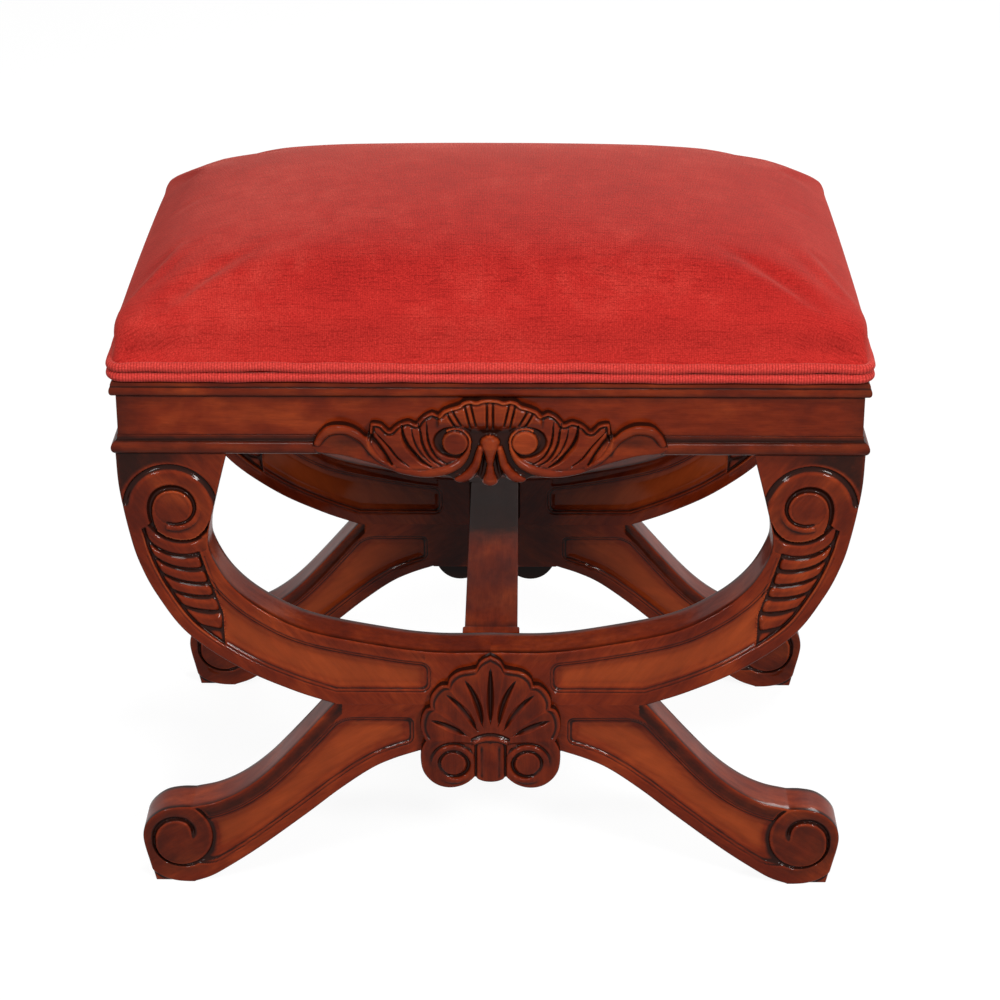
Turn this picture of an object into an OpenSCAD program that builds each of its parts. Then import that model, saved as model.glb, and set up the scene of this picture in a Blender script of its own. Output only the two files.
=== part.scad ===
// Footstool on two crossed, scrolled mahogany frames, with an upholstered seat.
// Millimetres. X runs along the width, the front faces -Y, and the floor is z = 0.

/* [Overall] */
// Width across the outer faces of the side rails
frame_w = 549; // [500:1:600]
// Depth across the outer faces of the front and back rails
frame_d = 370; // [340:1:400]
// Height of the underside of the rails above the floor
leg_h = 369.5; // [350:0.5:390]

/* [Rails] */
// Height of a rail
rail_h = 58; // [52:1:66]
// Thickness of a rail
rail_t = 22; // [20:0.5:26]
// Height of the upper bead
top_bead_h = 12; // [10:0.5:14]
// How far the upper bead stands out
top_bead_out = 4.5; // [3:0.5:6]
// Height of the round part of the lower bead
low_bead_h = 11; // [9:0.5:13]
// How far the lower bead stands out
low_bead_out = 5.2; // [3.2:0.2:6.2]
// Height of the small cove above the lower bead
cove_h = 4; // [3:0.5:6]
// Side of a triangular glue block in a rail corner
block_leg = 50; // [46:1:56]

/* [Crossed frames] */
// Thickness of a frame, front to back
frame_t = 36; // [32:1:40]
// Height of the glue line between the arms and the legs
seam_z = 159.7; // [154:0.1:166]
// Width between the two crotches where arm and leg part
crotch_w = 240.6; // [230:0.2:250]
// Height of the inner bottom of the U made by the two arms
u_z = 204.4; // [199:0.1:210]
// Height of the top of the arch between the legs
arch_z = 119; // [114:0.5:124]
// Depth of the carved grounds and grooves
carve_depth = 3; // [2:0.2:4]
// Depth of the first step round a sunk panel
step_depth = 1.4; // [1:0.1:1.8]
// Width of that step
step_w = 3; // [2:0.2:4]
// Plain border between a panel and the outer edge of an arm
arm_border = 10; // [9:0.5:14]
// Plain border between a panel and the inner edge of an arm
arm_inner_border = 9; // [8:0.5:12]
// Plain border above a leg panel
leg_border = 10; // [8:0.5:12]
// Plain border below a leg panel
leg_low_border = 8; // [7:0.5:11]

/* [Scrolls] */
// Radius of the sunk ground of an upper scroll
scroll_r = 33; // [30:0.5:34]
// Radius of the eye of an upper scroll
scroll_eye_r = 13; // [11:0.5:14]
// Radius that a foot scroll reaches at the leg's panel
foot_scroll_r = 26; // [23:0.5:28]
// Radius of the eye of a foot scroll
foot_eye_r = 14; // [12:0.5:15]
// Width of the spiral bead of an upper scroll
bead_w = 4.6; // [4:0.2:5]
// Width of the spiral groove of a foot scroll
groove_w = 2.6; // [2:0.2:3.4]
// Number of gadroon ribs below an upper scroll
ribs = 5; // [4:1:6]
// Radius of a gadroon rib
rib_r = 7.2; // [6.6:0.2:8]
// How far a rib lies below the face
rib_drop = 0.4; // [0.3:0.1:0.8]

/* [Carved shell plaque] */
// Width of the shell
plaque_w = 110; // [104:1:116]
// Height of the shell above its hub
shell_h = 76; // [70:1:80]
// Height of the shell's hub above the floor
hub_z = 129; // [125:0.5:133]
// Thickness of the plaque's ground
plaque_t = 6; // [5:0.5:7]
// How far the ribs and scrolls stand off that ground
plaque_proud = 2.5; // [1.5:0.1:3]
// Lobes round the shell
shell_lobes = 9; // [7:2:11]
// Radius of a lower scroll of the plaque
lobe_r = 23.5; // [22:0.5:24]

/* [Carved crest] */
// Width of the crest
crest_w = 262; // [240:1:280]
// Gap between the crest and the upper bead
crest_gap = 1.5; // [0.5:0.5:4]
// Drop of the crest below the underside of the rail
crest_drop = 23.5; // [18:0.5:26]
// Thickness of the crest's ground
crest_t = 5; // [4:0.5:6]
// Radius of a crest scroll
crest_eye_r = 11; // [9:0.5:12]
// How far the carving stands off that ground
crest_proud = 4; // [3:0.5:5]

/* [Stretcher] */
// Width of the stretcher
stretcher_w = 41; // [36:1:46]
// Height of the stretcher
stretcher_h = 40; // [34:1:42]
// Chamfer along the lower edges of the stretcher
stretcher_chamfer = 6; // [4:0.5:8]
// How far the end collar stands out at each side
collar_out = 1.6; // [1:0.2:3]
// Length of the end collar
collar_l = 9; // [6:0.5:12]

/* [Seat] */
// How far the cushion stands out past the rails
cushion_over = 4.5; // [3:0.5:7]
// How far the cushion's lower side lies in from its widest line
cushion_in = 6; // [5:0.5:8]
// Height from the piping to the widest line
flare_h = 14; // [10:1:18]
// Rise of the crown above the widest line
crown_h = 60; // [50:1:66]
// Radius of the cushion's corners in plan
cushion_corner = 24; // [18:1:30]
// How far the sides draw in between the corners
draw_in = 2.5; // [1:0.5:4]
// Thickness of the velvet with its lining
cover_t = 1.5; // [1.2:0.1:2]
// Width of the cover's margin turned under the board
margin_w = 32; // [28:1:36]
// Thickness of the seat board
board_t = 12; // [10:0.5:15]
// Diameter of the piping
welt_d = 7.6; // [6.6:0.1:8.4]
// Thickness of the dust cover
dust_t = 0.8; // [0.6:0.1:1]

/* [Dowels and screws] */
// Diameter of a dowel
dowel_d = 10; // [8:0.5:11]
// Depth of a dowel in each piece that it joins
dowel_depth = 22; // [18:1:26]
// Diameter of a stretcher dowel
small_dowel_d = 8; // [6:0.5:9]
// Diameter of a seat screw
screw_d = 5; // [4:0.5:5.5]
// Diameter of a seat screw's head
screw_head_d = 9.5; // [8.5:0.5:11]

/* [Hidden] */

MAHOGANY = [0.45, 0.15, 0.08];
PLAIN_WOOD = [0.72, 0.56, 0.38];
VELVET = [0.70, 0.14, 0.13];
PIPING = [0.80, 0.24, 0.22];
FOAM = [0.93, 0.88, 0.70];
CAMBRIC = [0.12, 0.12, 0.12];
STEEL = [0.65, 0.65, 0.68];

// One overrun for every cut, and the play round a dowel or a screw
over = 0.5;
play = 0.05;
// Room at the end of a dowel hole
end_room = 1;
$fn = 48;
// Steps of a curve between two of its points
curve_steps = 4;

half_w = frame_w / 2;
half_d = frame_d / 2;
rail_z = leg_h;
seat_z = leg_h + rail_h;
crest_rise = rail_h - top_bead_h - crest_gap;
crotch_x = crotch_w / 2;
dowel_r = dowel_d / 2;
small_dowel_r = small_dowel_d / 2;
welt_r = welt_d / 2;
// Height of the cushion's upright lower side, which carries two rows of piping
band_room = 0.4;
band_h = 2 * welt_d + band_room;

// Outline points, as shares between named sizes.
// Outer edge of an arm, from the rail down to the crotch: across from the crotch to the
// rail's end, and up from the glue line to the rail.
ARM_OUTER_SHARES = [[1.019, 1], [1.011, 0.86], [0.974, 0.688], [0.932, 0.567], [0.854, 0.438],
  [0.711, 0.284], [0.461, 0.146], [0.207, 0.055], [0, 0]];
// Inner edge of an arm, from the rail down to the middle: across the half width, and up
// from the bottom of the U to the rail.
ARM_INNER_SHARES = [[0.71, 1], [0.749, 0.752], [0.771, 0.585], [0.763, 0.485], [0.715, 0.342],
  [0.632, 0.216], [0.507, 0.107], [0.307, 0.033], [0.158, 0], [0, 0]];
// Upper edge of a leg, from the crotch out to the foot: across as the arm's outer edge,
// and up from the floor to the glue line.
LEG_UPPER_SHARES = [[0, 1], [0.222, 0.751], [0.361, 0.609], [0.491, 0.51], [0.614, 0.451],
  [0.737, 0.422]];
// The foot's scroll, from there round to the floor
FOOT_SHARES = [[0.737, 0.422], [0.809, 0.421], [0.883, 0.406], [0.942, 0.368], [0.981, 0.319],
  [0.995, 0.263], [0.989, 0.2], [0.968, 0.11], [0.943, 0]];
// Lower edge of a leg, from the toe to the arch: across the half width, and up to the arch
LEG_LOWER_SHARES = [[0.853, 0], [0.807, 0.039], [0.76, 0.105], [0.665, 0.261], [0.525, 0.521],
  [0.432, 0.702], [0.34, 0.86], [0.273, 0.939], [0.199, 1]];

function mix(a, b, t) = a + (b - a) * t;
function mix2(lo, hi, s) = [mix(lo.x, hi.x, s.x), mix(lo.y, hi.y, s.y)];

// A smooth curve through the points p, each span cut into n steps
function span_point(a, b, c, d, t) =
  0.5 * ((2 * b) + (c - a) * t + (2 * a - 5 * b + 4 * c - d) * pow(t, 2)
    + (3 * b - a - 3 * c + d) * pow(t, 3));
function smooth(p, n = curve_steps) = [
  for (i = [0 : len(p) - 2]) for (j = [0 : n - 1])
    span_point(i > 0 ? p[i - 1] : 2 * p[0] - p[1], p[i], p[i + 1],
      i < len(p) - 2 ? p[i + 2] : 2 * p[i + 1] - p[i], j / n),
  p[len(p) - 1]
];
function backwards(p) = [for (i = [len(p) - 1 : -1 : 0]) p[i]];
function tail(p) = [for (i = [1 : len(p) - 1]) p[i]];

// The line p moved sideways by d, to the left of its direction
function side_of(a, b) = let (v = b - a, l = norm(v)) [-v.y / l, v.x / l];
function moved(p, d) = [
  for (i = [0 : len(p) - 1])
    p[i] + d * side_of(p[max(i - 1, 0)], p[min(i + 1, len(p) - 1)])
];

// A spiral band of width w round c. It starts at the angle a0 and the radius r0 and runs
// through the angle turn to the radius r1. The higher bend is, the later it opens.
spiral_steps = 60;
function spiral_edge(c, a0, turn, r0, r1, bend, aside) = [
  for (i = [0 : spiral_steps])
    let (t = i / spiral_steps, a = a0 + turn * t, r = mix(r0, r1, pow(t, bend)) + aside)
      c + r * [cos(a), sin(a)]
];
function spiral(c, a0, turn, r0, r1, bend, w) = concat(
  spiral_edge(c, a0, turn, r0, r1, bend, w / 2),
  backwards(spiral_edge(c, a0, turn, r0, r1, bend, -w / 2))
);

// A flat shape in X and Z made solid between the depths y0 and y1
module slab(y0, y1) {
  translate([0, y1, 0]) rotate([90, 0, 0]) linear_extrude(y1 - y0) children();
}

module flipped(x = false, y = false) {
  mirror([x ? 1 : 0, 0, 0]) mirror([0, y ? 1 : 0, 0]) children();
}

// Crossed frames. Each is drawn for the front right, with its carved outer face at y = 0.
arm_outer = smooth([for (s = ARM_OUTER_SHARES) mix2([crotch_x, seam_z], [half_w, leg_h], s)]);
arm_inner = smooth([for (s = ARM_INNER_SHARES) mix2([0, u_z], [half_w, leg_h], s)]);
leg_upper = smooth([for (s = LEG_UPPER_SHARES) mix2([crotch_x, 0], [half_w, seam_z], s)]);
foot_edge = smooth([for (s = FOOT_SHARES) mix2([crotch_x, 0], [half_w, seam_z], s)]);
leg_lower = smooth([for (s = LEG_LOWER_SHARES) mix2([0, 0], [half_w, arch_z], s)]);
arm_in_x = arm_inner[0].x;
arm_top_w = arm_outer[0].x - arm_in_x;

// Places of the scrolls, as shares of the half width and of the heights they lie in
scroll_share = [0.865, 0.783];
foot_scroll_share = [0.9, 0.232];
scroll_c = mix2([0, seam_z], [half_w, leg_h], scroll_share);
foot_c = mix2([0, 0], [half_w, seam_z], foot_scroll_share);
// Where the ribs end and the arm's panel starts, and where each panel ends at the plaque
rib_end_share = 0.74;
arm_panel_end_share = 0.165;
leg_panel_end_share = 0.215;
rib_end_x = half_w * rib_end_share;
arm_panel_x = half_w * arm_panel_end_share;
leg_panel_x = half_w * leg_panel_end_share;

module arm_outline() {
  polygon(concat([[0, seam_z]], backwards(arm_outer), arm_inner));
}

module leg_outline() {
  polygon(concat([[0, seam_z]], leg_upper, tail(foot_edge), leg_lower, [[0, arch_z]]));
}

// The band of the arm left inside its two borders, and that of the leg
module arm_band(grow = 0) {
  polygon(concat([[0, seam_z + arm_border + grow]], backwards(moved(arm_outer, -arm_border - grow)),
    moved(arm_inner, arm_inner_border + grow)));
}

module leg_band(grow = 0) {
  low = moved(leg_lower, -leg_low_border - grow);
  top = seam_z - leg_low_border - grow;
  polygon(concat([[0, top], [crotch_x - leg_border - grow, top]],
    tail(moved(leg_upper, -leg_border - grow)), low, [[0, low[len(low) - 1].y]]));
}

// The part of a band between x0 and x1. Its end at x0 is round, between the heights z0 and z1.
module panel_window(x0, x1, z0, z1) {
  r = (z1 - z0) / 2;
  translate([x0 + r, 0]) square([x1 - x0 - r, leg_h]);
  translate([x0 + r, z0 + r]) circle(r = r);
}

// Sunk ground of an arm panel, and of a leg panel
module arm_panel(grow = 0) {
  intersection() {
    arm_band(grow);
    panel_window(arm_panel_x + grow, rib_end_x - grow, seam_z + arm_border + grow,
      u_z - arm_inner_border - grow);
  }
}

module leg_panel(grow = 0) {
  difference() {
    intersection() {
      leg_band(grow);
      panel_window(leg_panel_x + grow, foot_c.x, arch_z + leg_low_border + grow,
        seam_z - leg_low_border - grow);
    }
    translate(foot_c) circle(r = foot_scroll_r + grow);
  }
}

// Ground under the gadroon ribs, between the scroll and the panel
rib_top_share = 0.66;
rib_zone_inner_share = [0.80, 0.655];
module rib_ground() {
  top = mix(seam_z, leg_h, rib_top_share);
  inner = mix2([0, seam_z], [half_w, leg_h], rib_zone_inner_share);
  difference() {
    intersection() {
      arm_band();
      polygon([[rib_end_x + step_w, 0], [half_w, 0], [half_w, top], inner,
        [rib_end_x + step_w, mix(seam_z, leg_h, rib_top_share / 2)]]);
    }
    translate(scroll_c) circle(r = scroll_r + step_w);
  }
}

// The ribs lie across the arm, one under the other from the scroll to the panel
rib_first_share = [0.85, 0.59];
rib_last_share = [0.775, 0.33];
rib_tilt = 15;
module rib_rounds(y) {
  first = mix2([0, seam_z], [half_w, leg_h], rib_first_share);
  last = mix2([0, seam_z], [half_w, leg_h], rib_last_share);
  for (i = [0 : ribs - 1]) {
    c = mix(first, last, i / (ribs - 1));
    translate([c.x, y, c.y]) rotate([0, -rib_tilt, 0]) rotate([0, 90, 0])
      cylinder(r = rib_r, h = arm_top_w, center = true);
  }
}

// Everything that is cut into one face of an arm; the face is at y = 0, the wood behind it.
// The scroll's bead leaves its sunk eye at the foot, runs round it and opens to the inner edge.
scroll_start = 270;
scroll_turn = 408;
scroll_bend = 4;
module arm_carving() {
  slab(-over, step_depth) arm_panel();
  slab(-over, carve_depth) arm_panel(step_w);
  slab(-over, step_depth) translate(scroll_c) circle(r = scroll_eye_r);
  slab(-over, carve_depth) difference() {
    translate(scroll_c) circle(r = scroll_r);
    translate(scroll_c) circle(r = scroll_eye_r);
    polygon(spiral(scroll_c, scroll_start, -scroll_turn, scroll_eye_r + bead_w / 2, scroll_r,
      scroll_bend, bead_w));
  }
  difference() {
    slab(-over, carve_depth + rib_drop) rib_ground();
    rib_rounds(rib_r + rib_drop);
  }
}

// The foot's scroll is a groove round its eye, which opens once round to the leg's panel
foot_start = 180;
foot_turn = 380;
foot_bend = 2;
module leg_carving() {
  slab(-over, step_depth) leg_panel();
  slab(-over, carve_depth) leg_panel(step_w);
  slab(-over, carve_depth)
    polygon(spiral(foot_c, foot_start, -foot_turn, foot_eye_r, foot_scroll_r, foot_bend, groove_w));
}

module both_faces() {
  children();
  translate([0, frame_t, 0]) mirror([0, 1, 0]) children();
}

// Places of the dowels, at the middle of the frame's thickness
frame_mid = frame_t / 2;
pair_dowel_share = 0.66;
pair_dowel_x = crotch_x * pair_dowel_share;
arm_dowel_z = (u_z + seam_z) / 2;
leg_dowel_z = (arch_z + seam_z) / 2;
short_depth_share = 0.8;
short_depth = dowel_depth * short_depth_share;
rail_dowel_shares = [0.2, 0.6];
rail_dowel_y = rail_t / 2;
stretcher_dowel_x = stretcher_w / 4;
stretcher_dowel_share = 1.5;
stretcher_dowel_z = u_z - small_dowel_d * stretcher_dowel_share;

module across_dowel(z, grow = 0, room = 0) {
  translate([0, frame_mid, z]) rotate([0, 90, 0])
    cylinder(r = dowel_r + grow, h = 2 * (dowel_depth + room), center = true);
}

module upright_dowel(grow = 0, room = 0) {
  translate([pair_dowel_x, frame_mid, seam_z])
    cylinder(r = dowel_r + grow, h = 2 * (short_depth + room), center = true);
}

module rail_dowel(s, grow = 0, room = 0) {
  translate([arm_in_x + arm_top_w * s, rail_dowel_y, rail_z])
    cylinder(r = dowel_r + grow, h = 2 * (dowel_depth + room), center = true);
}

// A stretcher dowel, across the face between the frame and the stretcher
module stretcher_dowel(grow = 0, room = 0) {
  translate([stretcher_dowel_x, frame_t, stretcher_dowel_z]) rotate([90, 0, 0])
    cylinder(r = small_dowel_r + grow, h = 2 * (short_depth + room), center = true);
}

module arm() {
  color(MAHOGANY) difference() {
    slab(0, frame_t) arm_outline();
    both_faces() arm_carving();
    across_dowel(arm_dowel_z, play, end_room);
    upright_dowel(play, end_room);
    stretcher_dowel(play, end_room);
    for (s = rail_dowel_shares) rail_dowel(s, play, end_room);
  }
}

module leg() {
  color(MAHOGANY) difference() {
    slab(0, frame_t) leg_outline();
    both_faces() leg_carving();
    across_dowel(leg_dowel_z, play, end_room);
    upright_dowel(play, end_room);
  }
}

// Puts a front right piece at its own corner
module at_frame(left = false, back = false) {
  flipped(left, back) translate([0, -half_d, 0]) children();
}

module front_arm_left() { at_frame(left = true) arm(); }
module front_arm_right() { at_frame() arm(); }
module back_arm_left() { at_frame(left = true, back = true) arm(); }
module back_arm_right() { at_frame(back = true) arm(); }
module front_leg_left() { at_frame(left = true) leg(); }
module front_leg_right() { at_frame() leg(); }
module back_leg_left() { at_frame(left = true, back = true) leg(); }
module back_leg_right() { at_frame(back = true) leg(); }

module frame_dowels() {
  color(PLAIN_WOOD) for (back = [false, true]) {
    at_frame(back = back) across_dowel(arm_dowel_z);
    at_frame(back = back) across_dowel(leg_dowel_z);
    for (left = [false, true]) at_frame(left, back) upright_dowel();
  }
}

module rail_dowels() {
  color(PLAIN_WOOD) for (back = [false, true]) for (left = [false, true])
    for (s = rail_dowel_shares) at_frame(left, back) rail_dowel(s);
}

module stretcher_dowels() {
  color(PLAIN_WOOD) for (back = [false, true]) for (left = [false, true])
    at_frame(left, back) stretcher_dowel();
}

// Rails, mitred at the corners. Each is drawn for the front and turned to its side.
module mitred(half_l, depth, t, z0, h) {
  translate([0, 0, z0]) linear_extrude(h)
    polygon([[-half_l, -depth], [half_l, -depth], [half_l - t, t - depth], [t - half_l, t - depth]]);
}

module rail_long() {
  color(MAHOGANY) difference() {
    mitred(half_w, half_d, rail_t, rail_z, rail_h);
    for (left = [false, true]) for (s = rail_dowel_shares)
      at_frame(left) rail_dowel(s, play, end_room);
  }
}

module rail_short() {
  color(MAHOGANY) rotate([0, 0, 90]) mitred(half_d, half_w, rail_t, rail_z, rail_h);
}

module rail_front() { rail_long(); }
module rail_back() { flipped(y = true) rail_long(); }
module rail_right() { rail_short(); }
module rail_left() { flipped(x = true) rail_short(); }

// Beads. A profile stands out from the rail's face at y = 0 towards -y.
bead_steps = 12;
function half_round(h, out) = [
  for (i = [0 : bead_steps]) let (a = 180 * i / bead_steps) [-out * sin(a), h / 2 - h / 2 * cos(a)]
];
// The lower bead carries a small cove above its round
cove_share = 0.35;
function cove(h, rise) = let (low = rise * cove_share) concat([[0, h / 2]], [
  for (i = [0 : bead_steps / 2]) let (a = 90 * i / (bead_steps / 2))
    [-low * (1 - sin(a)), h - low + (rise + low) * (1 - cos(a))]
]);

// The profile run along a side and cut to its mitres
module run_bead(half_l, depth, z0, out, h) {
  reach = half_l + out;
  intersection() {
    translate([-reach, -depth, z0]) rotate([90, 0, 90]) linear_extrude(2 * reach) children();
    translate([0, 0, z0 - over]) linear_extrude(h + 2 * over)
      polygon([[-reach, -depth - out], [reach, -depth - out], [half_l - out, out - depth],
        [out - half_l, out - depth]]);
  }
}

top_bead_z = seat_z - top_bead_h;

module top_bead(half_l, depth) {
  color(MAHOGANY) run_bead(half_l, depth, top_bead_z, top_bead_out, top_bead_h)
    polygon(half_round(top_bead_h, top_bead_out));
}

module low_bead(half_l, depth) {
  color(MAHOGANY) run_bead(half_l, depth, rail_z, low_bead_out, low_bead_h + cove_h) {
    polygon(half_round(low_bead_h, low_bead_out));
    polygon(cove(low_bead_h, cove_h));
  }
}

// The lower bead stops against the crest at each side of it
crest_fit = 0.2;
module low_bead_long() {
  color(MAHOGANY) difference() {
    low_bead(half_w, half_d);
    translate([0, -half_d, 0]) slab(-low_bead_out - over, over) crest_outline(crest_fit);
  }
}

module top_bead_front() { top_bead(half_w, half_d); }
module top_bead_back() { flipped(y = true) top_bead(half_w, half_d); }
module top_bead_right() { rotate([0, 0, 90]) top_bead(half_d, half_w); }
module top_bead_left() { flipped(x = true) rotate([0, 0, 90]) top_bead(half_d, half_w); }
module low_bead_front() { low_bead_long(); }
module low_bead_back() { flipped(y = true) low_bead_long(); }
module low_bead_right() { rotate([0, 0, 90]) low_bead(half_d, half_w); }
module low_bead_left() { flipped(x = true) rotate([0, 0, 90]) low_bead(half_d, half_w); }

// Glue blocks in the rail corners, with the seat screws through them
block_z1 = seat_z - dust_t;
screw_inset_share = 0.38;
screw_x = half_w - rail_t - block_leg * screw_inset_share;
screw_y = half_d - rail_t - block_leg * screw_inset_share;
screw_hole_r = screw_d / 2 + play;
head_recess_share = 0.8;
head_z = rail_z + screw_head_d * head_recess_share;
head_h_share = 0.4;
head_h = screw_head_d * head_h_share;
screw_tip_share = 0.75;

module each_corner() {
  for (left = [false, true]) for (back = [false, true]) flipped(left, back) children();
}

module corner_blocks() {
  color(PLAIN_WOOD) each_corner() difference() {
    translate([half_w - rail_t, rail_t - half_d, rail_z]) linear_extrude(block_z1 - rail_z)
      polygon([[0, 0], [-block_leg, 0], [0, block_leg]]);
    translate([screw_x, -screw_y, rail_z - over]) cylinder(r = screw_hole_r, h = rail_h);
    translate([screw_x, -screw_y, rail_z - over])
      cylinder(r = screw_head_d / 2 + play, h = head_z - rail_z + over);
  }
}

board_z = seat_z + cover_t;
board_top = board_z + board_t;

module screw_at_corner(grow = 0) {
  translate([screw_x, -screw_y, head_z])
    cylinder(r = screw_d / 2 + grow, h = board_z + board_t * screw_tip_share - head_z);
}

module seat_screws() {
  color(STEEL) each_corner() union() {
    screw_at_corner();
    translate([screw_x, -screw_y, head_z - head_h]) cylinder(r = screw_head_d / 2, h = head_h);
  }
}

// Shell plaque. Its hub is the point that the ribs spread from.
shell_a = plaque_w / 2;
rim_r_share = 0.17;
rim_r = shell_a * rim_r_share;
rib_spread = 80;
hub = [0, hub_z];
function shell_dir(i) = -rib_spread + 2 * rib_spread * i / (shell_lobes - 1);
function shell_rim(a, back_off, low) =
  hub + [(shell_a - back_off) * sin(a), (cos(a) > 0 ? shell_h - back_off : low) * cos(a)];
shell_step = 2;
lobe_x = shell_a - lobe_r;
lobe_share = 0.78;
lobe_z = hub_z - lobe_r * lobe_share;
tongue_w_share = 0.2;
tongue_half = plaque_w * tongue_w_share / 2;
tongue_low = lobe_z - tongue_half / 2;

module shell_outline() {
  polygon([for (a = [0 : shell_step : 360 - shell_step]) shell_rim(a, rim_r / 2, lobe_r / 2)]);
  for (i = [0 : shell_lobes - 1]) translate(shell_rim(shell_dir(i), rim_r)) circle(r = rim_r);
  for (side = [-1, 1]) translate([side * lobe_x, lobe_z]) circle(r = lobe_r);
  translate([0, tongue_low]) circle(r = tongue_half);
  translate([-tongue_half, tongue_low]) square([2 * tongue_half, hub_z - tongue_low]);
}

// A tapered round bar in the plane of a carving, from a to b
module bar(a, b, r0, r1, y) {
  v = b - a;
  translate([a.x, y, a.y]) rotate([0, 90 - atan2(v.y, v.x), 0])
    cylinder(r1 = r0, r2 = r1, h = norm(v));
}

// What stands in front of the face that a carving lies on
module proud_of_face() {
  intersection() {
    children();
    slab(-plaque_w, 0) translate([-plaque_w, 0]) square([2 * plaque_w, leg_h]);
  }
}

// The ribs leave the hub thin and end round at the rim. A groove winds round each lower eye.
hub_bar_share = 0.22;
rim_bar_share = 0.8;
lobe_pad_share = 0.96;
lobe_eye_share = 0.5;
lobe_groove_share = 0.8;
lobe_turn = 400;
lobe_bend = 2;
module plaque() {
  front = plaque_t + plaque_proud;
  color(MAHOGANY) proud_of_face() union() {
    difference() {
      union() {
        slab(-plaque_t, 0) shell_outline();
        for (side = [-1, 1]) translate([side * lobe_x, 0, lobe_z]) rotate([90, 0, 0])
          cylinder(r = lobe_r * lobe_pad_share, h = front);
      }
      for (side = [-1, 1]) slab(-front - over, -plaque_t)
        polygon(spiral([side * lobe_x, lobe_z], side > 0 ? 180 : 0, -side * lobe_turn,
          lobe_r * lobe_eye_share, lobe_r * lobe_groove_share, lobe_bend, groove_w));
    }
    for (i = [0 : shell_lobes - 1]) let (tip = shell_rim(shell_dir(i), rim_r))
      bar(mix(hub, tip, hub_bar_share), tip, rim_r * hub_bar_share, rim_r * rim_bar_share,
        plaque_proud - plaque_t);
    intersection() {
      translate([0, tongue_half - front, tongue_low])
        cylinder(r = tongue_half, h = hub_z - tongue_low);
      slab(-front - over, 0) shell_outline();
    }
  }
}

module plaque_front() { translate([0, -half_d, 0]) plaque(); }
module plaque_back() { flipped(y = true) translate([0, -half_d, 0]) plaque(); }

// Crest. Shares run across the half width and from its lowest point to its top.
CREST_TOP_SHARES = [
  [[1, 0.44], [0.985, 0.6], [0.885, 0.715], [0.77, 0.68], [0.69, 0.585]],
  [[0.69, 0.585], [0.65, 0.70], [0.58, 0.73], [0.51, 0.64]],
  [[0.51, 0.64], [0.47, 0.74], [0.4, 0.79], [0.345, 0.80]],
  [[0.345, 0.80], [0.29, 0.885], [0.17, 0.95], [0, 1]]
];
CREST_LOW_SHARES = [[0, 0], [0.13, 0.025], [0.34, 0.105], [0.535, 0.17], [0.76, 0.30], [1, 0.44]];
// Each leaf blade runs from its tip to its root, with the radius of each end
CREST_BLADE_SHARES = [
  [[0.87, 0.60], [0.58, 0.26]], [[0.645, 0.62], [0.44, 0.20]], [[0.47, 0.66], [0.30, 0.17]],
  [[0.36, 0.70], [0.245, 0.30]]
];
crest_z0 = rail_z - crest_drop;
crest_z1 = rail_z + crest_rise;
crest_eye_share = [0.195, 0.5];
function crest_at(s) = mix2([0, crest_z0], [crest_w / 2, crest_z1], s);
crest_top = [for (piece = CREST_TOP_SHARES) for (p = tail(smooth([for (s = piece) crest_at(s)]))) p];
crest_low = smooth([for (s = CREST_LOW_SHARES) crest_at(s)]);
crest_half = concat(crest_low, crest_top);

module crest_outline(grow = 0) {
  edge = concat(crest_half,
    [for (i = [len(crest_half) - 2 : -1 : 1]) [-crest_half[i].x, crest_half[i].y]]);
  polygon([for (p = edge) [p.x + sign(p.x) * grow, p.y]]);
}

// The flutes of the small shell spread from this point, the outer ones shorter
crest_flutes = 6;
flute_spread = 38;
crest_hub_share = [0, 0.42];
flute_in_share = 0.5;
flute_out_share = 0.92;
flute_side_share = 0.7;
// Radii of the flutes, blades and middle drop, as shares of how far the carving stands out
flute_r_shares = [0.3, 0.6];
blade_r_shares = [1, 0.6];
drop_r_shares = [1.2, 0.9];
DROP_SHARES = [[0, 0.5], [0, 0.08]];
crest_turn = 300;
crest_bend = 2;
crest_groove_shares = [0.6, 0.75];
crest_groove_w_share = 0.6;

// A flute towards the angle a from straight up
module crest_flute(a, y) {
  hub_c = crest_at(crest_hub_share);
  dir = [sin(a), cos(a)] * (crest_z1 - hub_c.y);
  bar(hub_c + dir * flute_in_share, hub_c + dir * mix(flute_out_share, flute_side_share, abs(sin(a))),
    crest_proud * flute_r_shares[0], crest_proud * flute_r_shares[1], y);
}

module crest() {
  eye = crest_at(crest_eye_share);
  front = crest_t + crest_proud;
  color(MAHOGANY) union() {
    difference() {
      union() {
        slab(-crest_t, 0) crest_outline();
        for (side = [-1, 1]) translate([side * eye.x, 0, eye.y]) rotate([90, 0, 0])
          cylinder(r = crest_eye_r, h = front);
      }
      for (side = [-1, 1]) slab(-front - over, -crest_t)
        polygon(spiral([side * eye.x, eye.y], 270, side * crest_turn,
          crest_eye_r * crest_groove_shares[0], crest_eye_r * crest_groove_shares[1],
          crest_bend, groove_w * crest_groove_w_share));
    }
    for (side = [-1, 1]) for (b = CREST_BLADE_SHARES) {
      tip = crest_at(b[0]);
      root = crest_at(b[1]);
      bar([side * tip.x, tip.y], [side * root.x, root.y], crest_proud * blade_r_shares[0],
        crest_proud * blade_r_shares[1], -crest_t);
    }
    for (i = [0 : crest_flutes - 1])
      crest_flute(-flute_spread + 2 * flute_spread * i / (crest_flutes - 1), -crest_t);
    bar(crest_at(DROP_SHARES[0]), crest_at(DROP_SHARES[1]), crest_proud * drop_r_shares[0],
      crest_proud * drop_r_shares[1], -crest_t);
  }
}

module crest_front() { translate([0, -half_d, 0]) crest(); }
module crest_back() { flipped(y = true) translate([0, -half_d, 0]) crest(); }

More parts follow.
